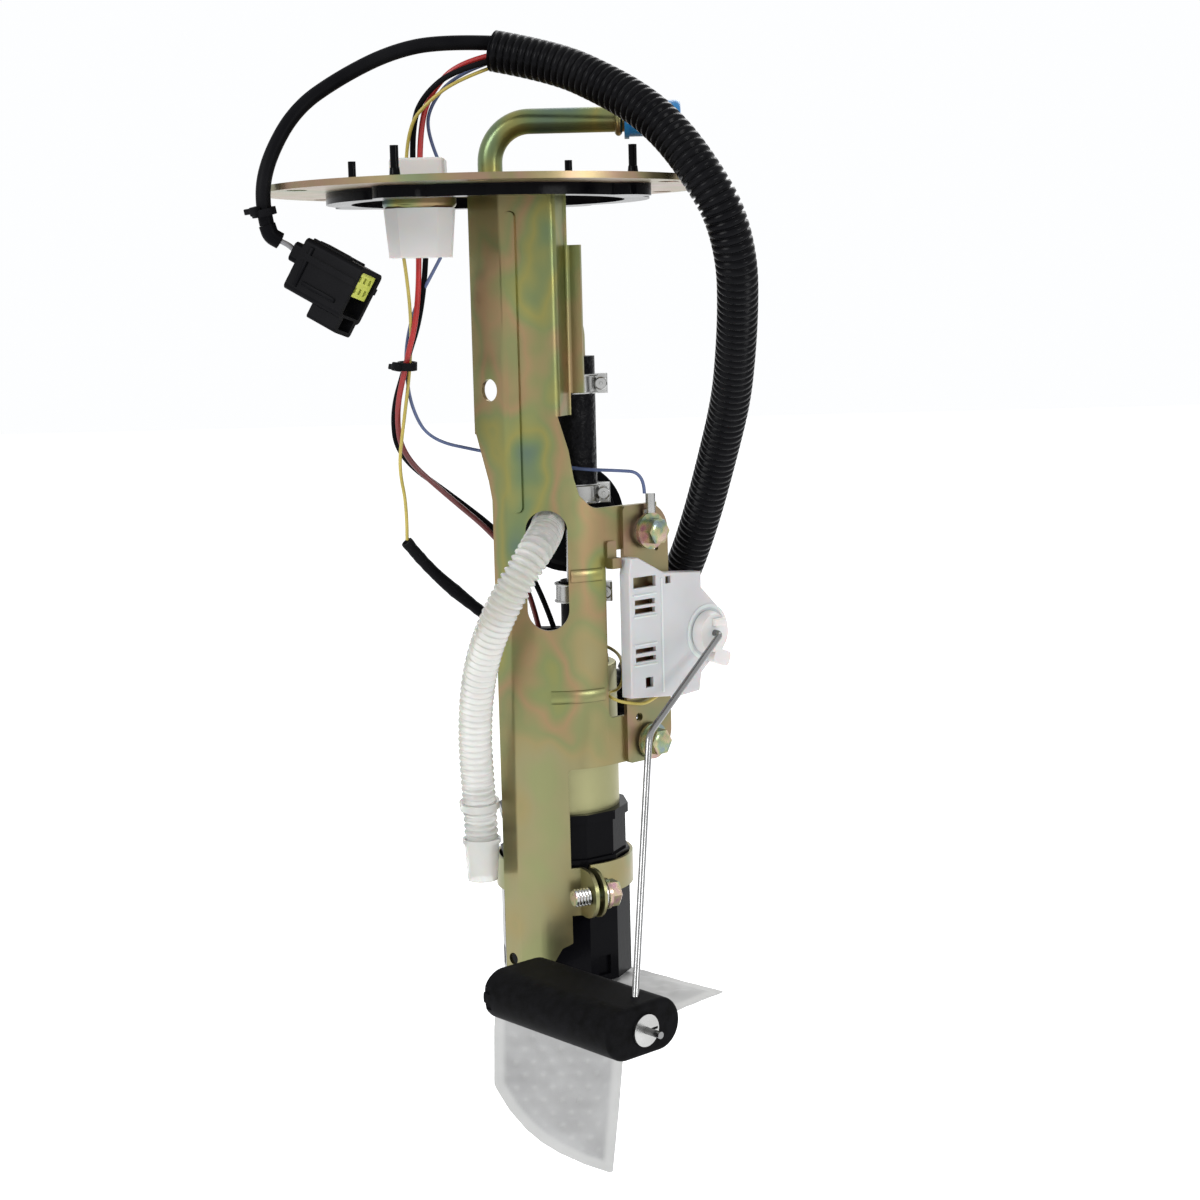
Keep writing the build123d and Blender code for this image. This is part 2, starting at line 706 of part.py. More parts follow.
with BuildPart() as hanger_bracket:
    # lower sheet: strip, web, wrap and arms
    middle = (BRACKET_BOTTOM + CHANNEL_BOTTOM) / 2
    with BuildLine(Plane.XY.offset(middle)) as lower_path:
        Polyline(wing_end, ridge, web_start)
        wrap_arc(ARM_AZ)
        Line(arm_start, arm_end)
        fillet(lower_path.vertices().sort_by_distance((*ridge, middle))[0], FOLD_R)
    with BuildSketch(Plane(origin=(*wing_end, middle), x_dir=(0, 0, 1), z_dir=lower_path.line % 0)):
        Rectangle(CHANNEL_BOTTOM - BRACKET_BOTTOM, SHEET)
    sweep(path=lower_path.line)
    # outline of the lower sheet, cut from the front
    with BuildSketch(Plane.XZ) as lower_outline:
        with BuildLine():
            Polyline(
                (WING_END_X - 5, CHANNEL_BOTTOM),
                (WING_END_X - 5, CHANNEL_BOTTOM - 4),
                (WING_END_X, CHANNEL_BOTTOM - 6),
                (STRIP_END_X - 1.0, CHANNEL_BOTTOM - 21),
                (STRIP_END_X, CHANNEL_BOTTOM - 27),
                (STRIP_END_X, BRACKET_BOTTOM),
                (WEB_EDGE_X - 6.3, BRACKET_BOTTOM),
                (WEB_EDGE_X - 6.0, BRACKET_BOTTOM + 6.1),
                (WEB_EDGE_X - 3.5, BRACKET_BOTTOM + 10.4),
                (WEB_EDGE_X, BRACKET_BOTTOM + 12.1),
                (WEB_EDGE_X, EAR_BOTTOM),
                (bracket_ear.origin.X, EAR_BOTTOM),
                (bracket_ear.origin.X, EAR_TOP),
                (WEB_EDGE_X, EAR_TOP),
                (WEB_EDGE_X, ARM_BOTTOM),
                (60, ARM_BOTTOM),
                (60, ARM_TOP),
                (31.0, ARM_TOP),
                (27.0, ARM_TOP + 4.5),
                (25.4, ARM_TOP + 10),
                (24.0, ARM_TOP + 19),
                (channel_edge[0], CHANNEL_BOTTOM),
                close=True,
            )
        make_face()
        fillet(lower_outline.vertices().sort_by_distance((STRIP_END_X, BRACKET_BOTTOM, 0))[0], 2.5)
        fillet(lower_outline.vertices().sort_by_distance((31.0, ARM_TOP, 0))[0], 4.0)
        fillet(lower_outline.vertices().sort_by_distance((WEB_EDGE_X, ARM_BOTTOM, 0))[0], 1.5)
    extrude(amount=60, both=True, mode=Mode.INTERSECT)
    # upper channel: wing, web, side wall and outward tab
    middle = CHANNEL_BOTTOM / 2
    with BuildLine(Plane.XY.offset(middle)) as upper_path:
        Polyline(wing_end, ridge, web_start)
        wrap_arc(CHANNEL_AZ)
        Polyline(channel_edge, wall_end, tab_end)
        for corner in (ridge, channel_edge, wall_end):
            fillet(upper_path.vertices().sort_by_distance((*corner, middle))[0], FOLD_R)
    with BuildSketch(Plane(origin=(*wing_end, middle), x_dir=(0, 0, 1), z_dir=upper_path.line % 0)):
        Rectangle(-CHANNEL_BOTTOM, SHEET)
    sweep(path=upper_path.line)
    # the tab is shorter than the channel
    for low, high in ((TAB_TOP, 1.0), (CHANNEL_BOTTOM - 1.0, TAB_BOTTOM)):
        with BuildSketch(Plane.XZ):
            with Locations((wall_end[0] + 6.9, (low + high) / 2)):
                Rectangle(12, high - low)
        extrude(amount=40, both=True, mode=Mode.SUBTRACT)
    # window between the two sender arms
    with BuildSketch(sender_plane(-6)):
        with Locations((30.7, (PLATE_TOP + PLATE_BOTTOM) / 2 + 0.9)):
            RectangleRounded(60, 55.2, 2.0)
    extrude(amount=12, mode=Mode.SUBTRACT)
    # slot for the return hose
    with BuildSketch(Plane.XZ.offset(8)):
        with Locations((SLOT_X, SLOT_Z)):
            SlotOverall(SLOT_LENGTH, SLOT_WIDTH, rotation=90)
    extrude(amount=30, mode=Mode.SUBTRACT)
    # pressed rib down the web
    with BuildSketch(facing_plane(WEB_AZ, WRAP_OUT_R - 0.3)):
        with Locations((-3.7, -55.0)):
            SlotOverall(96, 4.2, rotation=90)
    extrude(amount=RIB_H + 0.3, taper=18)
    # pressed beads at the roots of the arms
    for level, start, sweep_angle in ((ARM_TOP - 21.5, 12, 27), (ARM_BOTTOM + 24.0, -6, 45)):
        with BuildSketch(radial_plane(start)):
            with Locations((WRAP_OUT_R - 0.1, level)):
                Ellipse(0.9, 2.2)
            with Locations((WRAP_OUT_R - 2.5 - SHEET / 2, level)):
                Rectangle(5, 6, mode=Mode.SUBTRACT)
        revolve(axis=pump_axis, revolution_arc=sweep_angle)
    # fixing holes in the wing and the lower strip
    wing_normal = (math.sin(math.radians(WING_AZ)), -math.cos(math.radians(WING_AZ)), 0)
    wing_x = (math.cos(math.radians(WING_AZ)), math.sin(math.radians(WING_AZ)), 0)
    for hole_x, level, radius in ((-0.6, -63.5, 3.6), (1.7, -252.0, 2.0)):
        hole_y = ridge[1] - (RIDGE_X - hole_x) * math.tan(math.radians(WING_AZ))
        with BuildSketch(Plane(origin=(hole_x, hole_y, level), x_dir=wing_x, z_dir=wing_normal)):
            Circle(radius)
        extrude(amount=5, both=True, mode=Mode.SUBTRACT)
    # holes for the sender screws
    with BuildSketch(sender_plane(-5)):
        with Locations((SCREW_U, SCREW_TOP_Z), (SCREW_U, SCREW_LOW_Z)):
            Circle(SCREW_R + FIT)
    extrude(amount=8, mode=Mode.SUBTRACT)
    # hole that passes the sender's wire
    with BuildSketch(sender_plane(-5)):
        with Locations((WIRE_HOLE_U, WIRE_HOLE_Z)):
            Circle(WIRE_HOLE_R + 0.4)
    extrude(amount=8, mode=Mode.SUBTRACT)
    # ear that the clamp bolt pulls on
    extrude(ear_sketch(bracket_ear, EAR_HOLE), amount=SHEET / 2, both=True)
finish(hanger_bracket, "hanger_bracket")

# ---------------------------------------------------------------- pump clamp
with BuildPart() as clamp_strap:
    with BuildSketch(radial_plane(STRAP_EAR_AZ)):
        with Locations((STRAP_MID_R, (STRAP_TOP + STRAP_BOTTOM) / 2)):
            Rectangle(STRAP_T, STRAP_TOP - STRAP_BOTTOM)
    revolve(axis=pump_axis, revolution_arc=360 - STRAP_EAR_AZ + STRAP_WELD_AZ)
    extrude(ear_sketch(strap_ear, EAR_HOLE - ear_step.X), amount=STRAP_T / 2, both=True)
finish(clamp_strap, "clamp_strap")

strap_face = -(EAR_PITCH + STRAP_T / 2)
with BuildPart() as clamp_washer:
    with BuildSketch(bracket_ear.offset(strap_face)):
        with Locations((EAR_HOLE, EAR_BOLT_Z)):
            Circle(WASHER_R - 0.4)
            Circle(CLAMP_BOLT_R + FIT, mode=Mode.SUBTRACT)
    extrude(amount=-WASHER_T)

with BuildPart() as clamp_bolt:
    with BuildSketch(bracket_ear.offset(strap_face - WASHER_T)):
        with Locations((EAR_HOLE, EAR_BOLT_Z)):
            RegularPolygon(HEX_AF / 2, 6, major_radius=False)
    extrude(amount=-CLAMP_HEAD_H)
    chamfer(clamp_bolt.faces().sort_by(Axis((0, 0, 0), (0.891, 0.454, 0)))[-1].edges(), 0.5)
    with BuildSketch(bracket_ear.offset(strap_face - WASHER_T)):
        with Locations((EAR_HOLE, EAR_BOLT_Z)):
            Circle(HEAD_FLANGE_R - 0.8)
    extrude(amount=-HEAD_FLANGE_T)
    with BuildSketch(bracket_ear.offset(strap_face - WASHER_T)):
        with Locations((EAR_HOLE, EAR_BOLT_Z)):
            Circle(CLAMP_BOLT_R)
    extrude(amount=EAR_PITCH + STRAP_T / 2 + WASHER_T + 6.5)

# small clip in the notch of the upper arm
with BuildPart() as bracket_clip:
    with BuildSketch(sender_plane(0)):
        with Locations((2.7, -117.6)):
            RectangleRounded(4.0, 9.0, 0.8)
    extrude(amount=1.0)
    with BuildSketch(sender_plane(1.0)):
        with Locations((2.7, -120.2)):
            Rectangle(4.0, 3.4)
    extrude(amount=2.4)
finish(bracket_clip, "bracket_clip")

# ---------------------------------------------------------------- level sender
with BuildPart() as sender_plate:
    with BuildSketch(sender_plane()) as shape:
        with Locations((PLATE_U + PLATE_W / 2, (PLATE_TOP + PLATE_BOTTOM) / 2)):
            Rectangle(PLATE_W, PLATE_TOP - PLATE_BOTTOM)
        fillet(shape.vertices().sort_by(Axis.X)[-2:], 9.5)
        fillet(shape.vertices().sort_by(Axis.X)[0:2], 2.0)
        with Locations((SCREW_U, SCREW_TOP_Z), (SCREW_U, SCREW_LOW_Z)):
            Circle(SCREW_R + FIT, mode=Mode.SUBTRACT)
        with Locations((22.0, -117.0)):
            Circle(1.0, mode=Mode.SUBTRACT)
        with Locations((WIRE_HOLE_U, WIRE_HOLE_Z)):
            Circle(WIRE_HOLE_R, mode=Mode.SUBTRACT)
    extrude(amount=PLATE_T)
finish(sender_plate, "sender_plate")

TERMINAL_T = 0.8
with BuildPart() as sender_washers:
    with BuildSketch(sender_plane(PLATE_T)):
        with Locations((SCREW_U, SCREW_TOP_Z), (SCREW_U, SCREW_LOW_Z)):
            Circle(WASHER_R)
            Circle(SCREW_R + FIT, mode=Mode.SUBTRACT)
    extrude(amount=WASHER_T)

screw_levels = [(SCREW_TOP_Z, PLATE_T + WASHER_T + TERMINAL_T), (SCREW_LOW_Z, PLATE_T + WASHER_T)]
with BuildPart() as sender_screws:
    for level, seat in screw_levels:
        with BuildSketch(sender_plane(seat)):
            with Locations((SCREW_U, level)):
                RegularPolygon(HEX_AF / 2, 6, major_radius=False)
        extrude(amount=HEX_H, taper=2)
        with BuildSketch(sender_plane(seat)):
            with Locations((SCREW_U, level)):
                Circle(HEAD_FLANGE_R)
        extrude(amount=HEAD_FLANGE_T)
        with BuildSketch(sender_plane(seat)):
            with Locations((SCREW_U, level)):
                Circle(SCREW_R)
        extrude(amount=-seat - SHEET - 5.0)

with BuildPart() as sender_nuts:
    with BuildSketch(sender_plane(-SHEET)):
        with Locations((SCREW_U, SCREW_TOP_Z), (SCREW_U, SCREW_LOW_Z)):
            RegularPolygon(HEX_AF / 2, 6, major_radius=False)
            Circle(SCREW_R + FIT / 2, mode=Mode.SUBTRACT)
    extrude(amount=-3.4)

# alike fasteners go in one group
with BuildPart() as washers:
    add(sender_washers.part)
    add(clamp_washer.part)
finish(washers, "washers")

with BuildPart() as hex_screws:
    add(sender_screws.part)
    add(clamp_bolt.part)
finish(hex_screws, "hex_screws")

finish(sender_nuts, "hex_nuts")

CRIMP_R = 1.6
CRIMP_TOP = -98.5
terminal_off = PLATE_T + WASHER_T
with BuildPart() as ring_terminal:
    with BuildSketch(sender_plane(terminal_off)):
        with Locations((SCREW_U, SCREW_TOP_Z)):
            Circle(4.6)
        with Locations((SCREW_U, SCREW_TOP_Z + 5.5)):
            Rectangle(4.0, 3.0)
        with Locations((SCREW_U, SCREW_TOP_Z)):
            Circle(SCREW_R + FIT, mode=Mode.SUBTRACT)
    extrude(amount=TERMINAL_T)
    crimp_low = sender_point(SCREW_U, SCREW_TOP_Z + 6.0, terminal_off + CRIMP_R)
    with BuildSketch(Plane(origin=crimp_low, z_dir=(0, 0, 1))):
        Circle(CRIMP_R)
    extrude(amount=CRIMP_TOP - crimp_low.Z)
finish(ring_terminal, "ring_terminal")

housing_outline = [
    (5.3, -124.0),
    (5.3, -164.8),
    (28.3, -167.0),
    (36.6, -166.4),
    (37.6, -160.5),
    (42.5, -156.5),
    (48.5, -153.0),
    (50.5, -147.0),
    (46.5, -139.5),
    (38.0, -131.5),
    (38.0, -126.2),
    (21.0, -124.8),
    (9.5, -118.8),
    (6.3, -118.8),
]
housing_slots = [
    (12.0, -127.0, 10.0, 3.6),
    (12.0, -133.6, 9.0, 1.8),
    (12.0, -136.4, 9.0, 1.8),
    (12.0, -149.6, 9.0, 1.6),
    (12.0, -152.4, 9.0, 1.6),
    (13.4, -160.4, 3.4, 3.4),
    (22.6, -127.4, 2.4, 2.4),
]
with BuildPart() as sender_housing:
    with BuildSketch(sender_plane(HOUSING_BACK)):
        with BuildLine():
            Polyline(*housing_outline, close=True)
        make_face()
    extrude(amount=HOUSING_FRONT - HOUSING_BACK)
    front = sender_housing.faces().sort_by(Axis((0, 0, 0), sender_plane().z_dir))[-1]
    fillet(front.edges(), 0.5)
    with BuildSketch(sender_plane(HOUSING_BACK)):
        with BuildLine():
            Polyline(*housing_outline, close=True)
        make_face()
        offset(amount=-HOUSING_WALL, kind=Kind.INTERSECTION)
    extrude(amount=HOUSING_FRONT - HOUSING_BACK - HOUSING_WALL, mode=Mode.SUBTRACT)
    with BuildSketch(sender_plane(HOUSING_BACK)):
        for u, level, width, height in housing_slots:
            with Locations((u, level)):
                Rectangle(width, height)
        with Locations((PIVOT_U, PIVOT_Z)):
            Circle(PIVOT_R + RUN_GAP)
    extrude(amount=HOUSING_FRONT, mode=Mode.SUBTRACT)
finish(sender_housing, "sender_housing")

CARD_OFF = HOUSING_BACK + 0.1
with BuildPart() as resistor_card:
    with BuildSketch(sender_plane(CARD_OFF)):
        with Locations((PIVOT_U - 14.5, PIVOT_Z + 1.0)):
            RectangleRounded(WIPER_REACH - 1.0, 2 * WIPER_REACH, 1.0)
    extrude(amount=0.5)
finish(resistor_card, "resistor_card")

CARRIER_OFF = 2.95
CARRIER_T = 1.4
CARRIER_R = 6.0
WIPER_OFF = CARRIER_OFF - WIPER_T
WIPER_REST = 30.0
hub_back = HOUSING_FRONT + HUB_GAP
with BuildPart() as rotor_hub:
    with BuildSketch(sender_plane(hub_back)):
        with Locations((PIVOT_U, PIVOT_Z)):
            Circle(HUB_R)
    extrude(amount=HUB_T, taper=18)
    # lug that grips the rod past the disc
    with BuildSketch(sender_plane(hub_back)):
        with Locations((PIVOT_U + 3.5, PIVOT_Z - 8.6)):
            RectangleRounded(7.5, 5.0, 1.5, rotation=-20)
    extrude(amount=HUB_T)
    with BuildSketch(sender_plane(CARRIER_OFF)):
        with Locations((PIVOT_U, PIVOT_Z)):
            Circle(PIVOT_R)
    extrude(amount=hub_back - CARRIER_OFF)
    with BuildSketch(sender_plane(CARRIER_OFF)):
        with Locations((PIVOT_U, PIVOT_Z)):
            Circle(CARRIER_R)
    extrude(amount=CARRIER_T)
    with BuildSketch(sender_plane(CARRIER_OFF + CARRIER_T)):
        with Locations((PIVOT_U, PIVOT_Z)):
            Circle(ROD_R + 0.05)
    extrude(amount=12, mode=Mode.SUBTRACT)
finish(rotor_hub, "rotor_hub")

with BuildPart() as wiper:
    with BuildSketch(sender_plane(WIPER_OFF) * Pos(PIVOT_U, PIVOT_Z)):
        with PolarLocations(WIPER_REACH / 2, 1, start_angle=180 + WIPER_REST):
            RectangleRounded(WIPER_REACH, 3.0, 1.0)
        Circle(3.4)
    extrude(amount=WIPER_T)
finish(wiper, "wiper")

ROD_TIP_OFF = FLOAT_FRONT + 7.0
rod_points = [
    sender_point(PIVOT_U, PIVOT_Z, CARRIER_OFF + CARRIER_T),
    sender_point(PIVOT_U, PIVOT_Z, 12.5),
    sender_point(-6.0, -172.0, 26.0),
    sender_point(FLOAT_U, FLOAT_Z, 50.0),
    sender_point(FLOAT_U, FLOAT_Z, ROD_TIP_OFF),
]
rod_bends = [2.6, 8.0, 4.0]
with BuildPart() as float_rod:
    with BuildLine() as path:
        FilletPolyline(*rod_points, radius=rod_bends)
    with BuildSketch(Plane(origin=path.line @ 0, z_dir=path.line % 0)):
        Circle(ROD_R)
    sweep()
finish(float_rod, "float_rod")

WASHER_SEAT = FLOAT_FRONT + 0.1
with BuildPart() as sender_float:
    with BuildSketch(sender_plane(FLOAT_BACK)):
        with Locations((FLOAT_U, FLOAT_Z)):
            SlotOverall(FLOAT_W, FLOAT_H)
    extrude(amount=FLOAT_FRONT - FLOAT_BACK)
    front_ends = sender_float.faces().sort_by(Axis((0, 0, 0), sender_plane().z_dir))
    fillet(front_ends[0].edges() + front_ends[-1].edges(), 1.6)
    with BuildLine() as path:
        FilletPolyline(*rod_points[1:], radius=rod_bends[1:])
    with BuildSketch(Plane(origin=path.line @ 0, z_dir=path.line % 0)):
        Circle(ROD_R + 0.05)
    sweep(mode=Mode.SUBTRACT)
    # two bites out of the rear end
    with BuildSketch(sender_plane(FLOAT_BACK)):
        for side in (-1, 1):
            with Locations((FLOAT_U - FLOAT_W / 2, FLOAT_Z + side * 2.6)):
                Rectangle(3.0, 2.2)
    extrude(amount=4.0, mode=Mode.SUBTRACT)
finish(sender_float, "float")

with BuildPart() as float_washer:
    with BuildSketch(sender_plane(WASHER_SEAT)):
        with Locations((FLOAT_U, FLOAT_Z)):
            Circle(WASHER_R)
            Circle(ROD_R + 0.05, mode=Mode.SUBTRACT)
        with Locations((FLOAT_U + 3.2, FLOAT_Z)):
            Rectangle(2.6, 0.8, mode=Mode.SUBTRACT)
    extrude(amount=0.8)
finish(float_washer, "float_washer")

# ---------------------------------------------------------------- strainer
NECK_R = NOZZLE_R + 3.0
flap_corners = [(-9.0, -36.0), (17.0, -36.0), (21.5, 41.5), (-5.5, 44.0)]
lobe_corners = [
    (-8.5, -268.0),
    (-9.3, -286.7),
    (-12.3, -293.8),
    (-7.5, -304.0),
    (3.1, -319.4),
    (15.0, -328.8),
    (32.2, -335.8),
    (42.0, -331.3),
    (37.0, -294.0),
    (31.0, -268.0),
]
with BuildPart() as strainer_neck:
    with BuildSketch(Plane.XY.offset(SOCK_TOP - SOCK_T)):
        with Locations(pump_centre):
            Circle(NECK_R)
            Circle(NOZZLE_R + FIT / 2, mode=Mode.SUBTRACT)
    extrude(amount=SOCK_T + 4.0)
finish(strainer_neck, "strainer_neck")

with BuildPart() as strainer_retainer:
    with BuildSketch(Plane.XY.offset(SOCK_TOP - SOCK_T - 0.6)):
        with Locations(pump_centre):
            Circle(NECK_R + 0.6)
            Circle(NOZZLE_R + FIT / 2, mode=Mode.SUBTRACT)
    extrude(amount=0.6)
finish(strainer_retainer, "strainer_retainer")

LOBE_Y = 6.0
with BuildPart() as strainer_sock:
    with BuildSketch(Plane.XY.offset(SOCK_TOP - SOCK_T)):
        with BuildLine():
            a = math.radians(ARM_AZ)
            Polyline(
                *[
                    (
                        PUMP_X + u * math.cos(a) + off * math.sin(a),
                        PUMP_Y + u * math.sin(a) - off * math.cos(a),
                    )
                    for u, off in flap_corners
                ],
                close=True,
            )
        make_face()
    extrude(amount=SOCK_T)
    with BuildSketch(Plane.XZ.offset(-LOBE_Y - SOCK_T / 2)) as lobe:
        with BuildLine():
            Polyline((-8.5, SOCK_TOP - SOCK_T), *lobe_corners[1:], (31.0, SOCK_TOP - SOCK_T), close=True)
        make_face()
        fillet(lobe.vertices().sort_by(Axis.Y)[:-2], 4.0)
    extrude(amount=SOCK_T)
    # room for the neck, the retainer and the pump's nozzle
    with BuildSketch(Plane.XY.offset(SOCK_TOP)):
        with Locations(pump_centre):
            Circle(NECK_R + FIT / 2)
    extrude(amount=-SOCK_T - 2, mode=Mode.SUBTRACT)
    with BuildSketch(Plane.XY.offset(SOCK_TOP - SOCK_T)):
        with Locations(pump_centre):
            Circle(NECK_R + 0.8)
    extrude(amount=-2.0, mode=Mode.SUBTRACT)
finish(strainer_sock, "strainer_sock")

# ---------------------------------------------------------------- cords
RED_AT_TIE = (-28.65, -7.7, TIE_Z)
YELLOW_AT_TIE = (-27.3, -9.2, TIE_Z)
BLUE_AT_TIE = (-26.1, -7.7, TIE_Z)
BLACK_AT_TIE = (-27.4, -6.2, TIE_Z)

cord(
    "conduit",
    [
        (4, -16, 42.2),
        (23, -22, 37.8),
        (38.6, -30, 29.7),
        (50.2, -38, 21.8),
        (59.2, -44, 12.3),
        (67.4, -49, 0),
        (73.5, -49, -11.1),
        (77.0, -44, -25.1),
        (77.7, -35, -38.1),
        (77.5, -25, -52.2),
        (76.5, -13, -68.4),
        (72.7, 0, -86.9),
        (67.8, 13, -107.9),
        (62.0, 24, -126.8),
        (51.6, 32, -150),
        (41.0, 34, -171),
        (36.5, 33, -187.4),
    ],
    CONDUIT_R,
)
cord(
    "return_hose",
    [
        (PORT_X, PORT_TIP_Y, PORT_Z),
        (PORT_X, -21, PORT_Z),
        (13.8, -31, -112),
        (8.5, -35, -120),
        (3.0, -34.5, -129),
        (-1.8, -31, -139),
        (-5.6, -26.5, -150),
        (-8, -22, -163),
        (-8.9, -19, -177),
        (-8.6, -16.5, -190),
        (-8.2, -15, -201),
        (CUP_X, CUP_Y, CUP_TOP),
    ],
    RETURN_R,
)
cord(
    "lead_cable",
    [
        (3.6, -16, 44.6),
        (-12.7, -17, 45.4),
        (-28.2, -19, 42.3),
        (-43.8, -23, 34.5),
        (-57.2, -28, 25),
        (-65.4, -34, 10),
        (-67.6, -38, -2.7),
        (-66.2, -37, -10.3),
    ],
    CABLE_R,
)
cord(
    "upper_wire_red",
    [(-20.6, -12.5, CONN_TOP), (-20.0, -13, 21.3), (-15.8, -14, 31.1), (-7.0, -15.5, 39.0), (3.6, -16, 41.0)],
    WIRE_R,
)
cord(
    "upper_wire_blue",
    [(-15.2, -9.0, CONN_TOP), (-17.0, -10.5, 18.6), (-14.0, -13, 27.5), (-6, -14.2, 35.5), (3.6, -14.2, 39.2)],
    THIN_WIRE_R,
)
cord(
    "upper_wire_black",
    [(-22.9, -12, CONN_TOP), (-22.5, -14, 21.3), (-18.2, -16.5, 29.4), (-8.8, -18, 36.5), (3.6, -18, 39.2)],
    WIRE_R,
)
cord(
    "upper_wire_yellow",
    [(-24.7, -14.5, CONN_TOP), (-23.7, -15.5, 20.0), (-17.0, -17.5, 27.2), (-7.6, -17.5, 33.6), (3.6, -16, 37.4)],
    THIN_WIRE_R,
)
cord(
    "inner_wire_yellow",
    [
        (-26.8, -13, CONN_BOTTOM),
        (-25.3, -12, -36.0),
        YELLOW_AT_TIE,
        (-29.5, -7.5, -75.0),
        (-31.6, -5.6, -88.0),
        (-29.6, -2.5, -101.0),
        (-30.2, -0.4, -112.4),
    ],
    THIN_WIRE_R,
)
cord(
    "inner_wire_red",
    [
        (-22.4, -9, CONN_BOTTOM),
        (-22.9, -8.5, -37.0),
        RED_AT_TIE,
        (-33.4, -4.8, -70.5),
        (-32.4, -2.0, -84.5),
        (-17.0, 2.5, -98.0),
        (-1.5, 7.0, -112.3),
        (8.6, 8.0, -127.5),
        (PLUG_X - BLADE_GAP / 2, PLUG_Y, PLUG_TOP),
    ],
    WIRE_R,
)
cord(
    "inner_wire_black",
    [
        (-18.4, -6.5, CONN_BOTTOM),
        (-21.5, -5.5, -37.0),
        BLACK_AT_TIE,
        (-30.0, -1.5, -71.0),
        (-27.0, 2.0, -86.0),
        (-13.0, 6.5, -99.5),
        (1.0, 9.4, -112.5),
        (12.0, 9.0, -128.0),
        (PLUG_X + BLADE_GAP / 2, PLUG_Y, PLUG_TOP),
    ],
    WIRE_R,
)
cord(
    "inner_wire_blue",
    [
        (-15.1, -13, CONN_BOTTOM),
        (-19.0, -11, -38.0),
        BLUE_AT_TIE,
        (-26.3, -4.8, -67.5),
        (-18.5, -1.5, -78.5),
        (-4.4, 2.0, -84.0),
        (12.0, 0.5, -87.5),
        (27.0, -6.5, -90.0),
        (38.5, -6.6, -90.6),
        tuple(sender_point(SCREW_U, -91.5, terminal_off + CRIMP_R)),
        tuple(sender_point(SCREW_U, CRIMP_TOP, terminal_off + CRIMP_R)),
    ],
    THIN_WIRE_R,
)
cord(
    "splice_sleeve",
    [(-30.4, -0.2, -113.0), (-25.0, 3.0, -121.0), (-14.0, 8.0, -132.5), (-2.5, 14.0, -143.0)],
    SPLICE_R,
)
cord(
    "sender_wire",
    [
        (-2.5, 14.0, -143.0),
        (9.0, 20.0, -148.5),
        (25.0, 20.5, -150.0),
        (38.5, 12.0, -152.5),
        tuple(sender_point(12.0, -157.0, -5.0)),
        tuple(sender_point(4.5, -162.5, -3.8)),
        tuple(sender_point(3.6, -166.2, 2.2)),
        tuple(sender_point(8.5, -168.0, 3.2)),
        tuple(sender_point(15.0, -168.4, 3.2)),
        tuple(sender_point(19.5, -166.2, 3.2)),
    ],
    THIN_WIRE_R,
)


def cord_ring(place, direction, inner, thickness, height):
    """A short ring round a cord, centred on a place of its route."""
    with BuildPart() as ring:
        with BuildSketch(Plane(origin=place, z_dir=direction)):
            Circle(inner + thickness)
            Circle(inner, mode=Mode.SUBTRACT)
        extrude(amount=height / 2, both=True)
    return ring


finish(
    cord_ring((-8.3, -15.3, -198.5), (0.036, 0.136, -1), RETURN_R + 0.1, 0.9, 2.4),
    "return_hose_ring",
)
inner_tie = cord_ring((-27.4, -7.7, TIE_Z), (-0.05, 0.1, -1), 2.5, 0.7, 2.6)
lead_tie = cord_ring((-66.9, -37.5, -6.5), (0.18, 0.13, -1), CABLE_R + 0.75, 0.8, 2.2)
with BuildPart() as cable_ties:
    add(inner_tie.part)
    add(lead_tie.part)
finish(cable_ties, "cable_ties")

with BuildPart() as return_hose_cup:
    with BuildSketch(Plane.XZ.offset(-CUP_Y)):
        with BuildLine():
            Polyline(
                (CUP_X, CUP_TOP),
                (CUP_X + RETURN_R + 0.7, CUP_TOP),
                (CUP_X + RETURN_R + 0.7, CUP_TOP - 1.5),
                (CUP_X + RETURN_R + 0.2, CUP_TOP - 1.5),
                (CUP_X + RETURN_R - 0.6, CUP_TOP - 14.0),
                (CUP_X + RETURN_R - 1.4, CUP_TOP - 14.0),
                (CUP_X + RETURN_R - 0.8, CUP_TOP - 2.0),
                (CUP_X, CUP_TOP - 2.0),
                close=True,
            )
        make_face()
    revolve(axis=Axis((CUP_X, CUP_Y, 0), (0, 0, 1)))
finish(return_hose_cup, "return_hose_cup")

# ---------------------------------------------------------------- lead of the level sender's plug
cord(
    "lead_sleeve",
    [(-66.2, -37.0, -10.3), (-65.3, -36.6, -13.6), (-62.6, -35.7, -15.2)],
    CABLE_R + 0.3,
)
PLUG_START = (-57.6, -35.8, -18.8)
with BuildPart() as grey_wires:
    for step in (-1.7, 0, 1.7):
        grey_route = [
            (-62.6, -35.7 + step, -15.2),
            (-60.0, -35.7 + step, -16.5),
            (PLUG_START[0], PLUG_START[1] + step * 0.9, PLUG_START[2]),
        ]
        add(cord_tube("grey wire", grey_route, 0.75).part)
finish(grey_wires, "grey_wires")

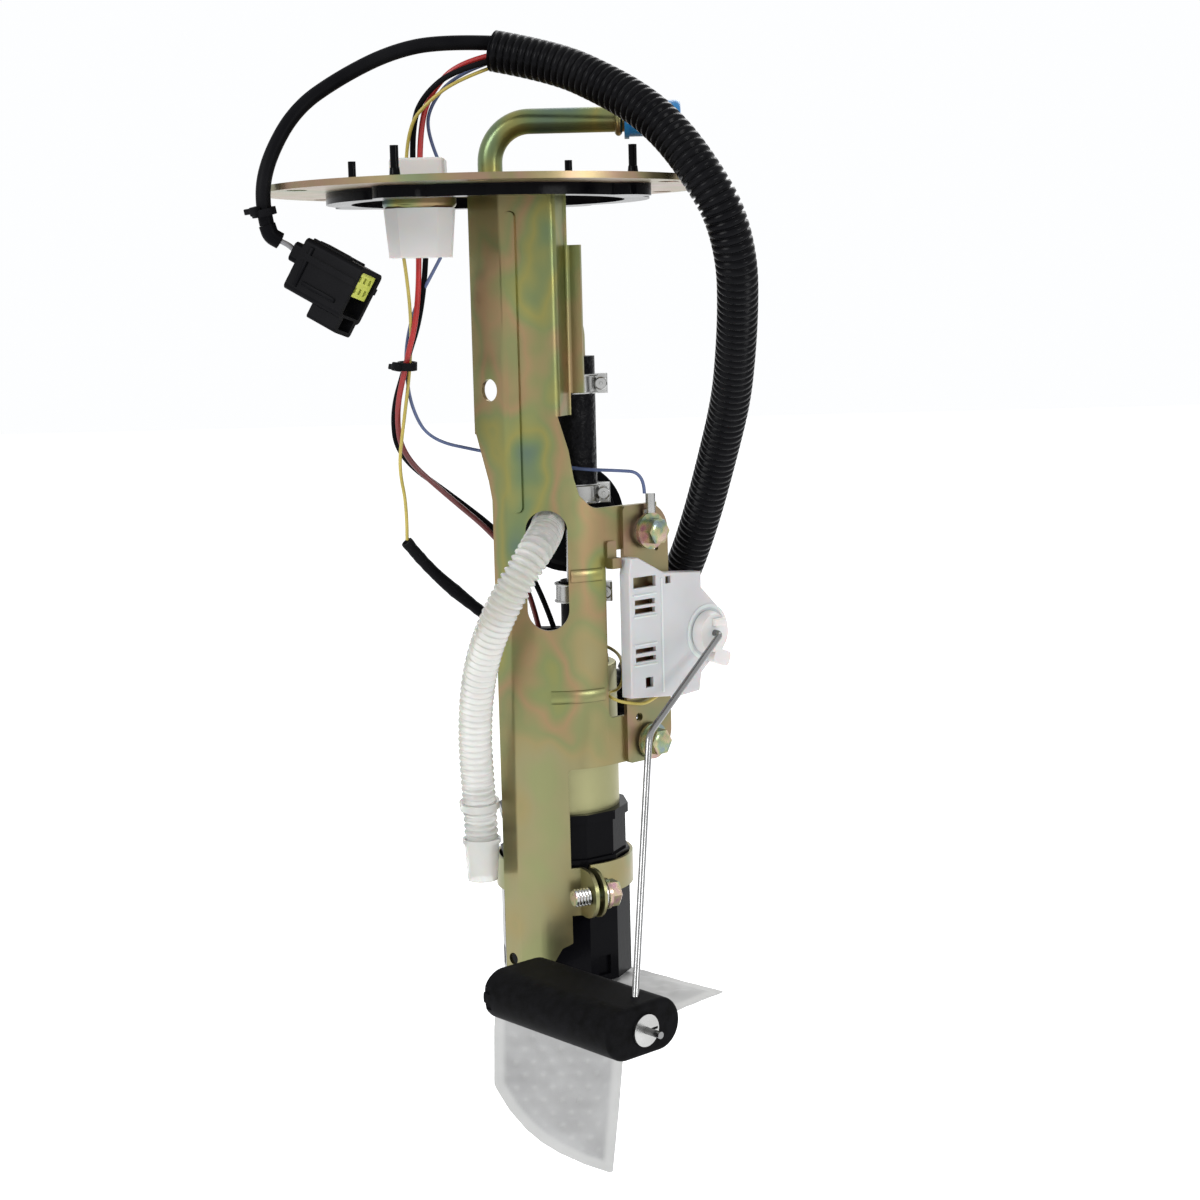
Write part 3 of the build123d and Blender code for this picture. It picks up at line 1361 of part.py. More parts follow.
# the plug: x across its face, y through it, z out of its mouth
plug_plane = Plane(origin=PLUG_START, x_dir=(0.484, 0, 0.875), z_dir=(0.793, -0.423, -0.439))
PLUG_W = 17.0
PLUG_D = 13.0
PLUG_NECK = 5.0
PLUG_LENGTH = 27.0
PLUG_WALL = 1.5
PLUG_SHIFT = -2.5
LATCH_H = 4.5
LATCH_LENGTH = 11.0
with BuildPart() as harness_connector:
    with BuildSketch(plug_plane):
        RectangleRounded(6.4, 6.4, 1.5)
    extrude(amount=PLUG_NECK)
    with BuildSketch(plug_plane.offset(PLUG_NECK)):
        with Locations((PLUG_SHIFT, 0)):
            RectangleRounded(PLUG_W, PLUG_D, 1.6)
    extrude(amount=PLUG_LENGTH - PLUG_NECK)
    # keeper for the latch, under the mouth
    with BuildSketch(plug_plane.offset(PLUG_LENGTH - LATCH_LENGTH)):
        with Locations((PLUG_SHIFT - PLUG_W / 2 - LATCH_H / 2 + 1, 0)):
            RectangleRounded(LATCH_H + 2, PLUG_D - 3, 1.0)
    extrude(amount=LATCH_LENGTH)
    # ribs along the shell
    for side in (-1, 1):
        with BuildSketch(plug_plane.offset(PLUG_NECK + 2)):
            with Locations((PLUG_SHIFT + 3, side * PLUG_D / 2)):
                Rectangle(2.0, 1.6)
        extrude(amount=PLUG_LENGTH - PLUG_NECK - 2)
    with BuildSketch(plug_plane.offset(PLUG_LENGTH - 9.0)):
        with Locations((PLUG_SHIFT, 0)):
            RectangleRounded(PLUG_W - 2 * PLUG_WALL, PLUG_D - 2 * PLUG_WALL, 0.8)
        with Locations((PLUG_SHIFT - PLUG_W / 2 - LATCH_H / 2 + 1, 0)):
            Rectangle(LATCH_H - 0.6, PLUG_D - 6.5)
    extrude(amount=10.0, mode=Mode.SUBTRACT)
finish(harness_connector, "harness_connector")

INSERT_W = 8.0
with BuildPart() as connector_insert:
    with BuildSketch(plug_plane.offset(PLUG_LENGTH - 9.0)):
        with Locations((PLUG_SHIFT + PLUG_W / 2 - PLUG_WALL - INSERT_W / 2 - FIT, 0)):
            RectangleRounded(INSERT_W, PLUG_D - 2 * PLUG_WALL - 2 * FIT, 0.6)
    extrude(amount=8.0)
    # cavities for the contacts
    with BuildSketch(plug_plane.offset(PLUG_LENGTH - 1.0)):
        with Locations((PLUG_SHIFT + PLUG_W / 2 - PLUG_WALL - INSERT_W / 2 - FIT, 0)):
            with GridLocations(3.6, 3.0, 2, 3):
                Rectangle(1.8, 1.2)
    extrude(amount=-5.0, mode=Mode.SUBTRACT)
finish(connector_insert, "connector_insert")
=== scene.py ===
# %% [markdown]
# # A fuel pump module
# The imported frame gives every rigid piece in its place. This lesson dresses it: plated steel with
# its rainbow tint, rubber, nylon and cloth, and the soft runs of wire and hose between the pieces.

# %% Load the frame
import bpy, bmesh, json, math
from mathutils import Matrix, Vector, noise


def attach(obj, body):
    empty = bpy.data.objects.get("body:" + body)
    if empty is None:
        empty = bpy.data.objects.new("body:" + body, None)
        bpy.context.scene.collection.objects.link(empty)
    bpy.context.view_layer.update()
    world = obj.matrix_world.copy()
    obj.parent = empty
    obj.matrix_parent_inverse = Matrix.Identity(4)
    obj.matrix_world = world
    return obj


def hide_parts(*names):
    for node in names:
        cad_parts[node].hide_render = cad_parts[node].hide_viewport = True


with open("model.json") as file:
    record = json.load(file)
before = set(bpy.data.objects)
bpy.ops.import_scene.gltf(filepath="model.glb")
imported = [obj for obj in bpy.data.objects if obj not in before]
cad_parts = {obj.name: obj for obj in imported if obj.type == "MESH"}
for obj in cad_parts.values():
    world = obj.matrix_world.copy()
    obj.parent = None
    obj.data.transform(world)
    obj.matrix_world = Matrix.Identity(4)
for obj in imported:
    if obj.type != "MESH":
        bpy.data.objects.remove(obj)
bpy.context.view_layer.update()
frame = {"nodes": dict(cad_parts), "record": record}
nodes = frame["nodes"]
scene = bpy.context.scene
collection = scene.collection
MM = 0.001

# %% [markdown]
# ## Materials
# No real surface has one flat colour. A small builder writes a Principled material whose colour
# drifts a little over the surface, whose roughness drifts with it, and which has a fine bump.
# Patterns use Object coordinates, in metres, so a finish keeps its grain on a piece of any size.
# Image textures would do it too, but noise needs no file and no unwrapping.


# %% Material builder
def new_material(name):
    """An empty node material and its shader, ready for links."""
    material = bpy.data.materials.new(name)
    material.use_nodes = True
    tree = material.node_tree
    return material, tree, tree.nodes["Principled BSDF"]


def object_noise(tree, scale, stretch=(1, 1, 1), detail=3.0):
    """A noise in the object's own metres; stretch lengthens it along an axis."""
    coords = tree.nodes.new("ShaderNodeTexCoord")
    mapping = tree.nodes.new("ShaderNodeMapping")
    mapping.inputs["Scale"].default_value = [1 / s for s in stretch]
    pattern = tree.nodes.new("ShaderNodeTexNoise")
    pattern.inputs["Scale"].default_value = scale
    pattern.inputs["Detail"].default_value = detail
    tree.links.new(coords.outputs["Object"], mapping.inputs["Vector"])
    tree.links.new(mapping.outputs["Vector"], pattern.inputs["Vector"])
    return pattern


def ramp(tree, source, stops):
    """A colour ramp over a source's value."""
    node = tree.nodes.new("ShaderNodeValToRGB")
    elements = node.color_ramp.elements
    while len(elements) < len(stops):
        elements.new(0.5)
    for element, (place, colour) in zip(elements, stops):
        element.position = place
        element.color = (*colour, 1)
    tree.links.new(source, node.inputs["Fac"])
    return node


def add_bump(tree, shader, height, strength, distance):
    """Raises the surface by a height signal."""
    node = tree.nodes.new("ShaderNodeBump")
    node.inputs["Strength"].default_value = strength
    node.inputs["Distance"].default_value = distance
    tree.links.new(height, node.inputs["Height"])
    tree.links.new(node.outputs["Normal"], shader.inputs["Normal"])


ROUGHNESS_SWING = 0.08
GRAIN_DEPTH = 0.00015


def plain(name, low, high, roughness=0.5, metallic=0.0, scale=60, grain=900, bump=0.15, **inputs):
    """A moulded or machined surface: colour drifts between low and high, with a fine grain."""
    material, tree, shader = new_material(name)
    drift = object_noise(tree, scale)
    colours = ramp(tree, drift.outputs["Fac"], [(0.3, low), (0.7, high)])
    tree.links.new(colours.outputs["Color"], shader.inputs["Base Color"])
    spread = tree.nodes.new("ShaderNodeMapRange")
    spread.inputs["To Min"].default_value = max(roughness - ROUGHNESS_SWING, 0.03)
    spread.inputs["To Max"].default_value = roughness + ROUGHNESS_SWING
    tree.links.new(drift.outputs["Fac"], spread.inputs["Value"])
    tree.links.new(spread.outputs["Result"], shader.inputs["Roughness"])
    shader.inputs["Metallic"].default_value = metallic
    for key, value in inputs.items():
        shader.inputs[key.replace("_", " ")].default_value = value
    add_bump(tree, shader, object_noise(tree, grain).outputs["Fac"], bump, GRAIN_DEPTH)
    return material


print("builders for plain finishes")

# %% [markdown]
# ## Yellow zinc plate
# The bracket, flange and tube are steel with zinc and a yellow chromate film. The film is thin
# enough to split light, so it shows gold, olive, tan and pink in soft blotches that run along the
# sheet. Two noises, one stretched along Z, are added and read through a colour ramp with many
# stops. The sum also shifts with height, because the upper end is more olive than the foot.

# %% Plating builder
ZINC_TONE = 0.74
ZINC_CONTRAST = 1.5
ZINC_FOOT = -0.26
TAN_SHIFT = 0.22
OLIVE_SHIFT = -0.26
BAND_SHARE = 0.4
GOLD_STOPS = [
    (0.22, (0.12, 0.19, 0.17)),
    (0.28, (0.20, 0.26, 0.12)),
    (0.33, (0.33, 0.31, 0.10)),
    (0.38, (0.26, 0.29, 0.12)),
    (0.43, (0.39, 0.27, 0.14)),
    (0.48, (0.28, 0.29, 0.13)),
    (0.54, (0.36, 0.30, 0.14)),
    (0.61, (0.34, 0.31, 0.16)),
    (0.68, (0.31, 0.32, 0.15)),
]
BOLT_STOPS = [
    (0.30, (0.26, 0.33, 0.34)),
    (0.42, (0.34, 0.42, 0.24)),
    (0.50, (0.56, 0.50, 0.28)),
    (0.58, (0.62, 0.46, 0.36)),
    (0.68, (0.55, 0.32, 0.36)),
]
TAN_STOPS = [
    (0.30, (0.22, 0.26, 0.14)),
    (0.42, (0.34, 0.27, 0.14)),
    (0.50, (0.38, 0.25, 0.17)),
    (0.58, (0.30, 0.26, 0.13)),
    (0.70, (0.40, 0.25, 0.21)),
]
SHELL_STOPS = [(0.3, (0.40, 0.39, 0.20)), (0.7, (0.50, 0.47, 0.25))]


def plated(name, roughness=0.3, scale=24, stretch=(1, 1, 3.2), drop=0.68, stops=GOLD_STOPS):
    """Yellow zinc plate: olive and teal drift to gold and tan; drop is the shift with height."""
    material, tree, shader = new_material(name)
    blotches = object_noise(tree, scale, stretch, 1.5)
    blotches.inputs["Distortion"].default_value = 0.2
    bands = object_noise(tree, 1.6 * scale, (1, 1, 1.2), 2.0)
    drift = tree.nodes.new("ShaderNodeMix")
    drift.inputs["Factor"].default_value = BAND_SHARE
    tree.links.new(blotches.outputs["Fac"], drift.inputs["A"])
    tree.links.new(bands.outputs["Fac"], drift.inputs["B"])
    coords = tree.nodes.new("ShaderNodeTexCoord")
    split = tree.nodes.new("ShaderNodeSeparateXYZ")
    tree.links.new(coords.outputs["Object"], split.inputs["Vector"])
    centre = 0.5 * (1 - ZINC_CONTRAST)
    height = tree.nodes.new("ShaderNodeMapRange")
    height.inputs["From Min"].default_value = ZINC_FOOT
    height.inputs["From Max"].default_value = 0.0
    height.inputs["To Min"].default_value = TAN_SHIFT * drop + centre
    height.inputs["To Max"].default_value = OLIVE_SHIFT * drop + centre
    tree.links.new(split.outputs["Z"], height.inputs["Value"])
    total = tree.nodes.new("ShaderNodeMath")
    total.operation = "MULTIPLY_ADD"
    total.inputs[1].default_value = ZINC_CONTRAST
    tree.links.new(drift.outputs["Result"], total.inputs[0])
    tree.links.new(height.outputs["Result"], total.inputs[2])
    toned = [(place, tuple(ZINC_TONE * c for c in colour)) for place, colour in stops]
    colours = ramp(tree, total.outputs["Value"], toned)
    tree.links.new(colours.outputs["Color"], shader.inputs["Base Color"])
    shader.inputs["Metallic"].default_value = 0.9
    spread = tree.nodes.new("ShaderNodeMapRange")
    spread.inputs["To Min"].default_value = roughness - 0.06
    spread.inputs["To Max"].default_value = roughness + 0.12
    tree.links.new(object_noise(tree, 140).outputs["Fac"], spread.inputs["Value"])
    tree.links.new(spread.outputs["Result"], shader.inputs["Roughness"])
    add_bump(tree, shader, object_noise(tree, 1400, (1, 1, 6)).outputs["Fac"], 0.12, 0.0001)
    return material


print(f"plating with {len(GOLD_STOPS)} tints")

# %% [markdown]
# ## Red wire, braided hose and mesh
# Three surfaces need more than a drift of colour. The red wire turns a darker maroon below its
# tie, so a mix follows the height. The fuel hose has a braid under its skin, which makes it
# lumpy, so it gets a second, deeper bump. The strainer is a fine mesh, grey where its two
# layers lie apart and pale where they are sealed; the mesh carries that as an attribute.


# %% Insulation, hose and cloth
def red_insulation():
    """Red above the tie, and a darker maroon lower down."""
    material = plain("red_wire", (0.34, 0.010, 0.010), (0.46, 0.02, 0.018), 0.34, 0,
                     120, 900, 0.05)
    tree = material.node_tree
    shader = tree.nodes["Principled BSDF"]
    upper_red = shader.inputs["Base Color"].links[0].from_socket
    coords = tree.nodes.new("ShaderNodeTexCoord")
    split = tree.nodes.new("ShaderNodeSeparateXYZ")
    lower_darkening = tree.nodes.new("ShaderNodeMapRange")
    lower_darkening.inputs["From Min"].default_value = -0.050
    lower_darkening.inputs["From Max"].default_value = -0.085
    mixed = tree.nodes.new("ShaderNodeMix")
    mixed.data_type = "RGBA"
    mixed.inputs["B"].default_value = (0.10, 0.012, 0.012, 1)
    tree.links.new(coords.outputs["Object"], split.inputs["Vector"])
    tree.links.new(split.outputs["Z"], lower_darkening.inputs["Value"])
    tree.links.new(lower_darkening.outputs["Result"], mixed.inputs["Factor"])
    tree.links.new(upper_red, mixed.inputs["A"])
    tree.links.new(mixed.outputs["Result"], shader.inputs["Base Color"])
    return material


def hose_rubber():
    """Black rubber hose whose braid shows through as an uneven skin."""
    material = plain("hose_rubber", (0.003, 0.003, 0.004), (0.007, 0.007, 0.008), 0.22, 0,
                     70, 900, 0.15, **SATIN)
    tree = material.node_tree
    skin = object_noise(tree, 330, (1, 1, 0.7)).outputs["Fac"]
    add_bump(tree, tree.nodes["Principled BSDF"], skin, 0.7, 0.0015)
    return material


def filter_cloth():
    """Fine polyester mesh, paler where the weld attribute says that its two layers are sealed."""
    material, tree, shader = new_material("filter_cloth")
    coords = tree.nodes.new("ShaderNodeTexCoord")
    weave = tree.nodes.new("ShaderNodeTexVoronoi")
    weave.inputs["Scale"].default_value = 1900
    tree.links.new(coords.outputs["Object"], weave.inputs["Vector"])
    weld = tree.nodes.new("ShaderNodeAttribute")
    weld.attribute_name = "weld"
    drift = object_noise(tree, 55)
    loose = ramp(tree, drift.outputs["Fac"], [(0.3, (0.30,) * 3), (0.7, (0.40,) * 3)])
    mixed = tree.nodes.new("ShaderNodeMix")
    mixed.data_type = "RGBA"
    tree.links.new(weld.outputs["Fac"], mixed.inputs["Factor"])
    tree.links.new(loose.outputs["Color"], mixed.inputs["A"])
    mixed.inputs["B"].default_value = (0.55, 0.55, 0.54, 1)
    tree.links.new(mixed.outputs["Result"], shader.inputs["Base Color"])
    shader.inputs["Roughness"].default_value = 0.6
    shader.inputs["Sheen Weight"].default_value = 0.2
    add_bump(tree, shader, weave.outputs["Distance"], 0.35, 0.0001)
    return material


print("red insulation, hose rubber and filter cloth are ready to build")

# %% [markdown]
# ## Finishes for every node
# The record gives each node a slot, and each slot has one finish. Seven pieces differ from their
# slot's finish: the flange, the sender's plate and the clip are tanner, the housing's nylon is
# darkened as painted shade, the rod is darker than the clamps, and the grey wires and the fuel
# hose have their own.
# Black plastics reflect little, so their specular level is low.

# %% Finishes
BLACK = dict(Specular_IOR_Level=0.1, IOR=1.2)
SATIN = dict(Specular_IOR_Level=0.16, IOR=1.25)
NYLON = dict(Subsurface_Weight=0.3, Subsurface_Scale=0.004)
finishes = {
    "plated_gold": plated("plated_gold"),
    "zinc_bolt": plated("zinc_bolt", 0.24, 190, (1, 1, 1), 0.0, BOLT_STOPS),
    "pump_zinc": plated("pump_zinc", 0.4, 40, (1, 1, 2), 0.0, SHELL_STOPS),
    "steel": plain("steel", (0.34, 0.34, 0.33), (0.48, 0.48, 0.47), 0.25, 1.0, 90, 700, 0.03),
    "black_rubber": plain("black_rubber", (0.002, 0.002, 0.003), (0.004, 0.004, 0.005), 0.16, 0,
                          70, 900, 0.15, Specular_IOR_Level=0.14, IOR=1.25),
    "white_nylon": plain("white_nylon", (0.62, 0.61, 0.60), (0.69, 0.68, 0.67), 0.4, 0,
                         40, 700, 0.08, **NYLON),
    "blue_plastic": plain("blue_plastic", (0.010, 0.17, 0.42), (0.016, 0.21, 0.50), 0.32, 0,
                          80, 900, 0.08),
    "black_plastic": plain("black_plastic", (0.004, 0.004, 0.005), (0.009, 0.009, 0.010), 0.4, 0,
                           60, 1200, 0.1, **BLACK),
    "float_black": plain("float_black", (0.004, 0.004, 0.004), (0.008, 0.008, 0.009), 0.55, 0,
                         300, 2600, 0.5, **BLACK),
    "grey_plastic": plain("grey_plastic", (0.004, 0.004, 0.005), (0.009, 0.009, 0.010), 0.38, 0,
                          60, 900, 0.1, **BLACK),
    "magnet": plain("magnet", (0.08, 0.08, 0.085), (0.12, 0.12, 0.125), 0.6, 0.2, 90, 1500, 0.3),
    "brass": plain("brass", (0.68, 0.48, 0.20), (0.80, 0.60, 0.30), 0.28, 1.0, 120, 2500, 0.1),
    "card": plain("card", (0.22, 0.14, 0.07), (0.30, 0.20, 0.10), 0.5, 0, 200, 2500, 0.2),
    "red_wire": red_insulation(),
    "blue_wire": plain("blue_wire", (0.05, 0.075, 0.17), (0.08, 0.11, 0.23), 0.4, 0,
                       120, 900, 0.05),
    "yellow_wire": plain("yellow_wire", (0.36, 0.29, 0.05), (0.48, 0.38, 0.09), 0.4, 0,
                         120, 900, 0.05),
    "lime_plastic": plain("lime_plastic", (0.38, 0.42, 0.06), (0.48, 0.51, 0.10), 0.35, 0,
                          90, 900, 0.1),
    "clear_hose": plain("clear_hose", (0.74, 0.74, 0.71), (0.84, 0.84, 0.81), 0.14, 0,
                        60, 700, 0.04, Transmission_Weight=0.6, IOR=1.3,
                        Subsurface_Weight=0.2, Subsurface_Scale=0.002),
    "filter_cloth": filter_cloth(),
}
conduit_finish = plain("conduit_black", (0.003, 0.003, 0.004), (0.006, 0.006, 0.007), 0.26, 0,
                       60, 900, 0.06, **SATIN)
tan_plate = plated("tan_plate", 0.3, 26, (1, 1, 1), 0.0, TAN_STOPS)
own_finish = {
    # The housing is the same white nylon as the connector, made darker here as painted shade.
    "sender_housing": plain("housing_nylon_painted_shade", (0.50, 0.50, 0.51), (0.57, 0.57, 0.58), 0.4, 0,
                            40, 700, 0.08, **NYLON),
    "float_rod": plain("rod_steel", (0.20, 0.20, 0.20), (0.28, 0.28, 0.28), 0.22, 1.0,
                       60, 500, 0.02),
    "grey_wires": plain("grey_insulation", (0.16, 0.16, 0.17), (0.24, 0.24, 0.25), 0.4, 0,
                        120, 900, 0.05),
    "fuel_hose": hose_rubber(),
    "flange_plate": tan_plate,
    "sender_plate": tan_plate,
    "bracket_clip": tan_plate,
}
for item in frame["record"]["subparts"]:
    name = item["node"]
    nodes[name].data.materials.clear()
    nodes[name].data.materials.append(own_finish.get(name, finishes[item["material_slot"]]))
print(f"{len(finishes)} slot finishes and {len(own_finish)} exceptions on {len(nodes)} nodes")

# %% [markdown]
# ## Cords
# The wires, the lead and the hoses keep one length and hang from where they are fixed. Each is a
# NURBS curve whose control points are its route, because a NURBS curve bends softly and never
# kinks at a point. Plain cords get a round bevel. Corrugated ones are mesh tubes that follow the
# same kind of curve, with a radius that rises and falls along the run.


# %% Cord builders
def spline_curve(name, route):
    """A curve object of one open NURBS spline through a route in millimetres."""
    data = bpy.data.curves.new(name, "CURVE")
    data.dimensions = "3D"
    data.resolution_u = 16
    spline = data.splines.new("NURBS")
    spline.points.add(len(route) - 1)
    for point, place in zip(spline.points, route):
        point.co = (*[c * MM for c in place], 1)
    spline.order_u = 3
    spline.use_endpoint_u = True
    obj = bpy.data.objects.new(name, data)
    collection.objects.link(obj)
    return obj


def curve_points(route):
    """Points along the route's own NURBS spline, in metres."""
    obj = spline_curve("probe", route)
    mesh = bpy.data.meshes.new_from_object(obj)
    points = [v.co.copy() for v in mesh.vertices]
    bpy.data.objects.remove(obj)
    bpy.data.meshes.remove(mesh)
    return points


def run_length(points):
    """The length along a list of points."""
    return sum((b - a).length for a, b in zip(points, points[1:]))


def resample(points, step):
    """The same line with even steps."""
    total = run_length(points)
    count = max(2, round(total / step))
    result, walked, index = [points[0]], 0.0, 0
    for i in range(1, count):
        target = total * i / count
        while walked + (points[index + 1] - points[index]).length < target:
            walked += (points[index + 1] - points[index]).length
            index += 1
        run = points[index + 1] - points[index]
        result.append(points[index] + run * ((target - walked) / run.length))
    result.append(points[-1])
    return result


MOUTH_SHARE = 0.8


def tube_mesh(name, centres, radii, segments=32, mouth=0.003):
    """A round tube through centres, one radius each, with a recessed mouth at both ends."""
    mesh = bpy.data.meshes.new(name)
    bm = bmesh.new()
    before = centres[:1] + centres[:-1]
    after = centres[1:] + centres[-1:]
    tangents = [(b - a).normalized() for a, b in zip(before, after)]
    side = tangents[0].orthogonal().normalized()
    rings = []

    def add_ring(centre, tangent, radius):
        nonlocal side
        side = (side - tangent * side.dot(tangent)).normalized()
        up = tangent.cross(side)
        turns = [2 * math.pi * k / segments for k in range(segments)]
        spokes = [side * math.cos(t) + up * math.sin(t) for t in turns]
        rings.append([bm.verts.new(centre + spoke * radius) for spoke in spokes])

    inner = min(radii) * MOUTH_SHARE
    add_ring(centres[0] + tangents[0] * mouth, tangents[0], inner)
    add_ring(centres[0], tangents[0], inner)
    for centre, tangent, radius in zip(centres, tangents, radii):
        add_ring(centre, tangent, radius)
    add_ring(centres[-1], tangents[-1], inner)
    add_ring(centres[-1] - tangents[-1] * mouth, tangents[-1], inner)
    for low, high in zip(rings, rings[1:]):
        for k in range(segments):
            bm.faces.new((low[k], low[(k + 1) % segments], high[(k + 1) % segments], high[k]))
    bm.faces.new(rings[0][::-1])
    bm.faces.new(rings[-1])
    bmesh.ops.recalc_face_normals(bm, faces=bm.faces)
    for face in bm.faces:
        face.smooth = True
    bm.to_mesh(mesh)
    bm.free()
    obj = bpy.data.objects.new(name, mesh)
    collection.objects.link(obj)
    return obj


# one corrugation: (place along the pitch, share of the depth)
SQUARE_RIDGE = [(0.0, 0), (0.12, 1), (0.34, 1), (0.46, 0)]
ROUND_RIDGE = [(0.0, 0), (0.18, 0.3), (0.36, 1), (0.5, 1), (0.68, 0.3), (0.86, 0)]


def corrugated(name, route, radius, pitch, depth, ridge):
    """A corrugated tube and its path; depth is how far the grooves go in."""
    path = curve_points(route)
    length = run_length(path)
    turns = round(length / (pitch * MM))
    centres = resample(path, length / turns)
    spots, radii = [], []
    for i in range(len(centres) - 1):
        for place, share in ridge:
            spots.append(centres[i].lerp(centres[i + 1], place))
            radii.append((radius - share * depth) * MM)
    return tube_mesh(name, spots, radii), path


def declare(obj, node, route, path, radius, material, **facts):
    """Finishes a cord: its material, the node it stands for and its body; its facts are not used.
    """
    obj.data.materials.append(material)
    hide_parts(node)
    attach(obj, "module")


def wire(name, node, route, radius, finish, **facts):
    """A smooth round cord."""
    obj = spline_curve(name, route)
    obj.data.bevel_depth = radius * MM
    obj.data.bevel_resolution = 5
    obj.data.use_fill_caps = True
    declare(obj, node, route, curve_points(route), radius, finishes[finish], **facts)


print("cord builders ready")

# %% [markdown]
# ## Conduit and return hose
# The conduit is a black tube with square ridges that keeps the wires from chafing. The return
# hose is a softer, clear one with round ridges that lets the pressure regulator's surplus fall
# back into the tank. Both are moulded with one ridge after another, so one profile is
# repeated along the run: the real ones bend only because the grooves give.

# %% Corrugated conduit and return hose
CONDUIT_R = 6.4
HOSE_R = 5.6
conduit_route = [
    (4, -16, 42.2), (23, -22, 37.8), (38.6, -30, 29.7), (50.2, -38, 21.8), (59.2, -44, 12.3),
    (67.4, -49, 0), (73.5, -49, -11.1), (77.0, -44, -25.1), (77.7, -35, -38.1), (77.5, -25, -52.2),
    (76.5, -13, -68.4), (72.7, 0, -86.9), (67.8, 13, -107.9), (62.0, 24, -126.8), (51.6, 32, -150),
    (41.0, 34, -171), (36.5, 33, -187.4),
]
conduit, path = corrugated("conduit_tube", conduit_route, CONDUIT_R, 2.4, 0.9, SQUARE_RIDGE)
declare(conduit, "conduit", conduit_route, path, CONDUIT_R, conduit_finish,
        far_end="bare", stiffness="medium", lay="hanging")
return_route = [
    (16.4, -4.0, -108.4), (16.4, -21, -108.4), (13.8, -31, -112), (8.5, -35, -120),
    (3.0, -34.5, -129), (-1.8, -31, -139), (-5.6, -26.5, -150), (-8, -22, -163),
    (-8.9, -19, -177), (-8.6, -16.5, -190), (-8.2, -15, -201), (-8.0, -14.5, -210.0),
]
hose, path = corrugated("return_hose_tube", return_route, HOSE_R, 2.15, 0.95, ROUND_RIDGE)
declare(hose, "return_hose", return_route, path, HOSE_R, finishes["clear_hose"],
        far_end="fitting", stiffness="medium", lay="hanging",
        with_pieces=["return_hose_cup", "return_hose_ring"])
print(f"return hose {1000 * run_length(path):.0f} mm long")

# %% [markdown]
# ## Lead and wires
# A sleeved lead leaves the conduit for the harness plug, and four wires leave it for the bulkhead
# connector. Below the flange the same four go on: two thick ones feed the pump, the thin blue one
# earths the sender's screw, and the thin yellow one goes to the level sender. A tie holds them
# together, so their routes cross and meet there.

# %% Lead and wires
CABLE_R = 2.3
THICK_R = 0.92
THIN_R = 0.56
cable_route = [
    (3.6, -16, 44.6), (-12.7, -17, 45.4), (-28.2, -19, 42.3), (-43.8, -23, 34.5),
    (-57.2, -28, 25), (-65.4, -34, 10), (-67.6, -38, -2.7), (-66.2, -37, -10.3),
]
wire("lead_cable_run", "lead_cable", cable_route, CABLE_R, "black_plastic", far_end="connector",
     stiffness="medium", lay="hanging",
     with_pieces=["lead_sleeve", "grey_wires", "harness_connector", "connector_insert"])
upper = {
    "red": [(-20.6, -12.5, 10), (-20.0, -13, 21.3), (-15.8, -14, 31.1), (-7.0, -15.5, 39.0),
            (3.6, -16, 41.0)],
    "blue": [(-15.2, -9.0, 10), (-18.2, -11.5, 18.0), (-17.0, -13.2, 26.0), (-8.6, -14.6, 35.6),
             (3.6, -14.2, 39.2)],
    "black": [(-22.9, -12, 10), (-22.5, -14, 21.3), (-18.2, -16.5, 29.4), (-8.8, -18, 36.5),
              (3.6, -18, 39.2)],
    "yellow": [(-24.7, -14.5, 10), (-23.7, -15.5, 20.0), (-17.0, -17.5, 27.2),
               (-7.6, -17.5, 33.6), (3.6, -16, 37.4)],
}
TERMINAL = [(48.2, -5.2, -91.5), (48.2, -5.2, -98.5)]
inner = {
    "yellow": [(-26.8, -13, -21), (-25.3, -9.5, -36.0), (-26.6, -4.6, -55.2), (-29.5, -7.5, -75.0),
               (-31.6, -5.6, -88.0), (-29.6, -2.5, -101.0), (-30.2, -0.4, -112.4)],
    "red": [(-22.4, -9, -21), (-22.9, -8.5, -37.0), (-28.0, -8.2, -55.2), (-31.9, -4.8, -70.5),
            (-30.6, -2.0, -84.5), (-17.0, 2.5, -98.0), (-1.5, 7.0, -112.3), (8.6, 8.0, -127.5),
            (12.0, 12, -144.5)],
    "black": [(-20.3, -7.5, -21), (-21.7, -6.4, -37.0), (-28.2, -6.2, -55.2), (-33.4, -3.2, -70.5),
              (-32.2, 0.2, -85.2), (-15.0, 5.2, -98.8), (1.0, 9.4, -112.5), (12.0, 9.0, -128.0),
              (17.0, 12, -144.5)],
    "blue": [(-15.1, -13, -21), (-19.7, -8.0, -28.3), (-24.5, -4.0, -36.1), (-27.5, -3.6, -46.3),
             (-28.3, -4.6, -55.3), (-27.0, -4.6, -68.6),
             (-21.5, -2.4, -79.6), (-4.4, 2.0, -84.0), (12.0, 0.5, -87.5), (27.0, -6.5, -90.0),
             (38.5, -6.6, -90.6), *TERMINAL],
}
kinds = {
    "red": (THICK_R, "red_wire"), "black": (THICK_R, "black_plastic"),
    "blue": (THIN_R, "blue_wire"), "yellow": (THIN_R, "yellow_wire"),
}
for place, routes in (("upper", upper), ("inner", inner)):
    for colour, route in routes.items():
        radius, finish = kinds[colour]
        wire(f"{place}_{colour}_run", f"{place}_wire_{colour}", route, radius, finish,
             far_end="object", stiffness="limp", lay="hanging")
print("lead and eight wires in place")

# %% [markdown]
# ## Splice sleeve and sender wire
# The yellow wire ends in a black sleeve, heat-shrunk over a crimp, and a thin wire goes on from it
# to the level sender. The sleeve is a tube whose radius swells over the crimp and ripples a little
# as shrunk tubing does. The sender stands at an angle to the flange, so its points are given in
# its own directions: u along its plate, z up, and off away from it.

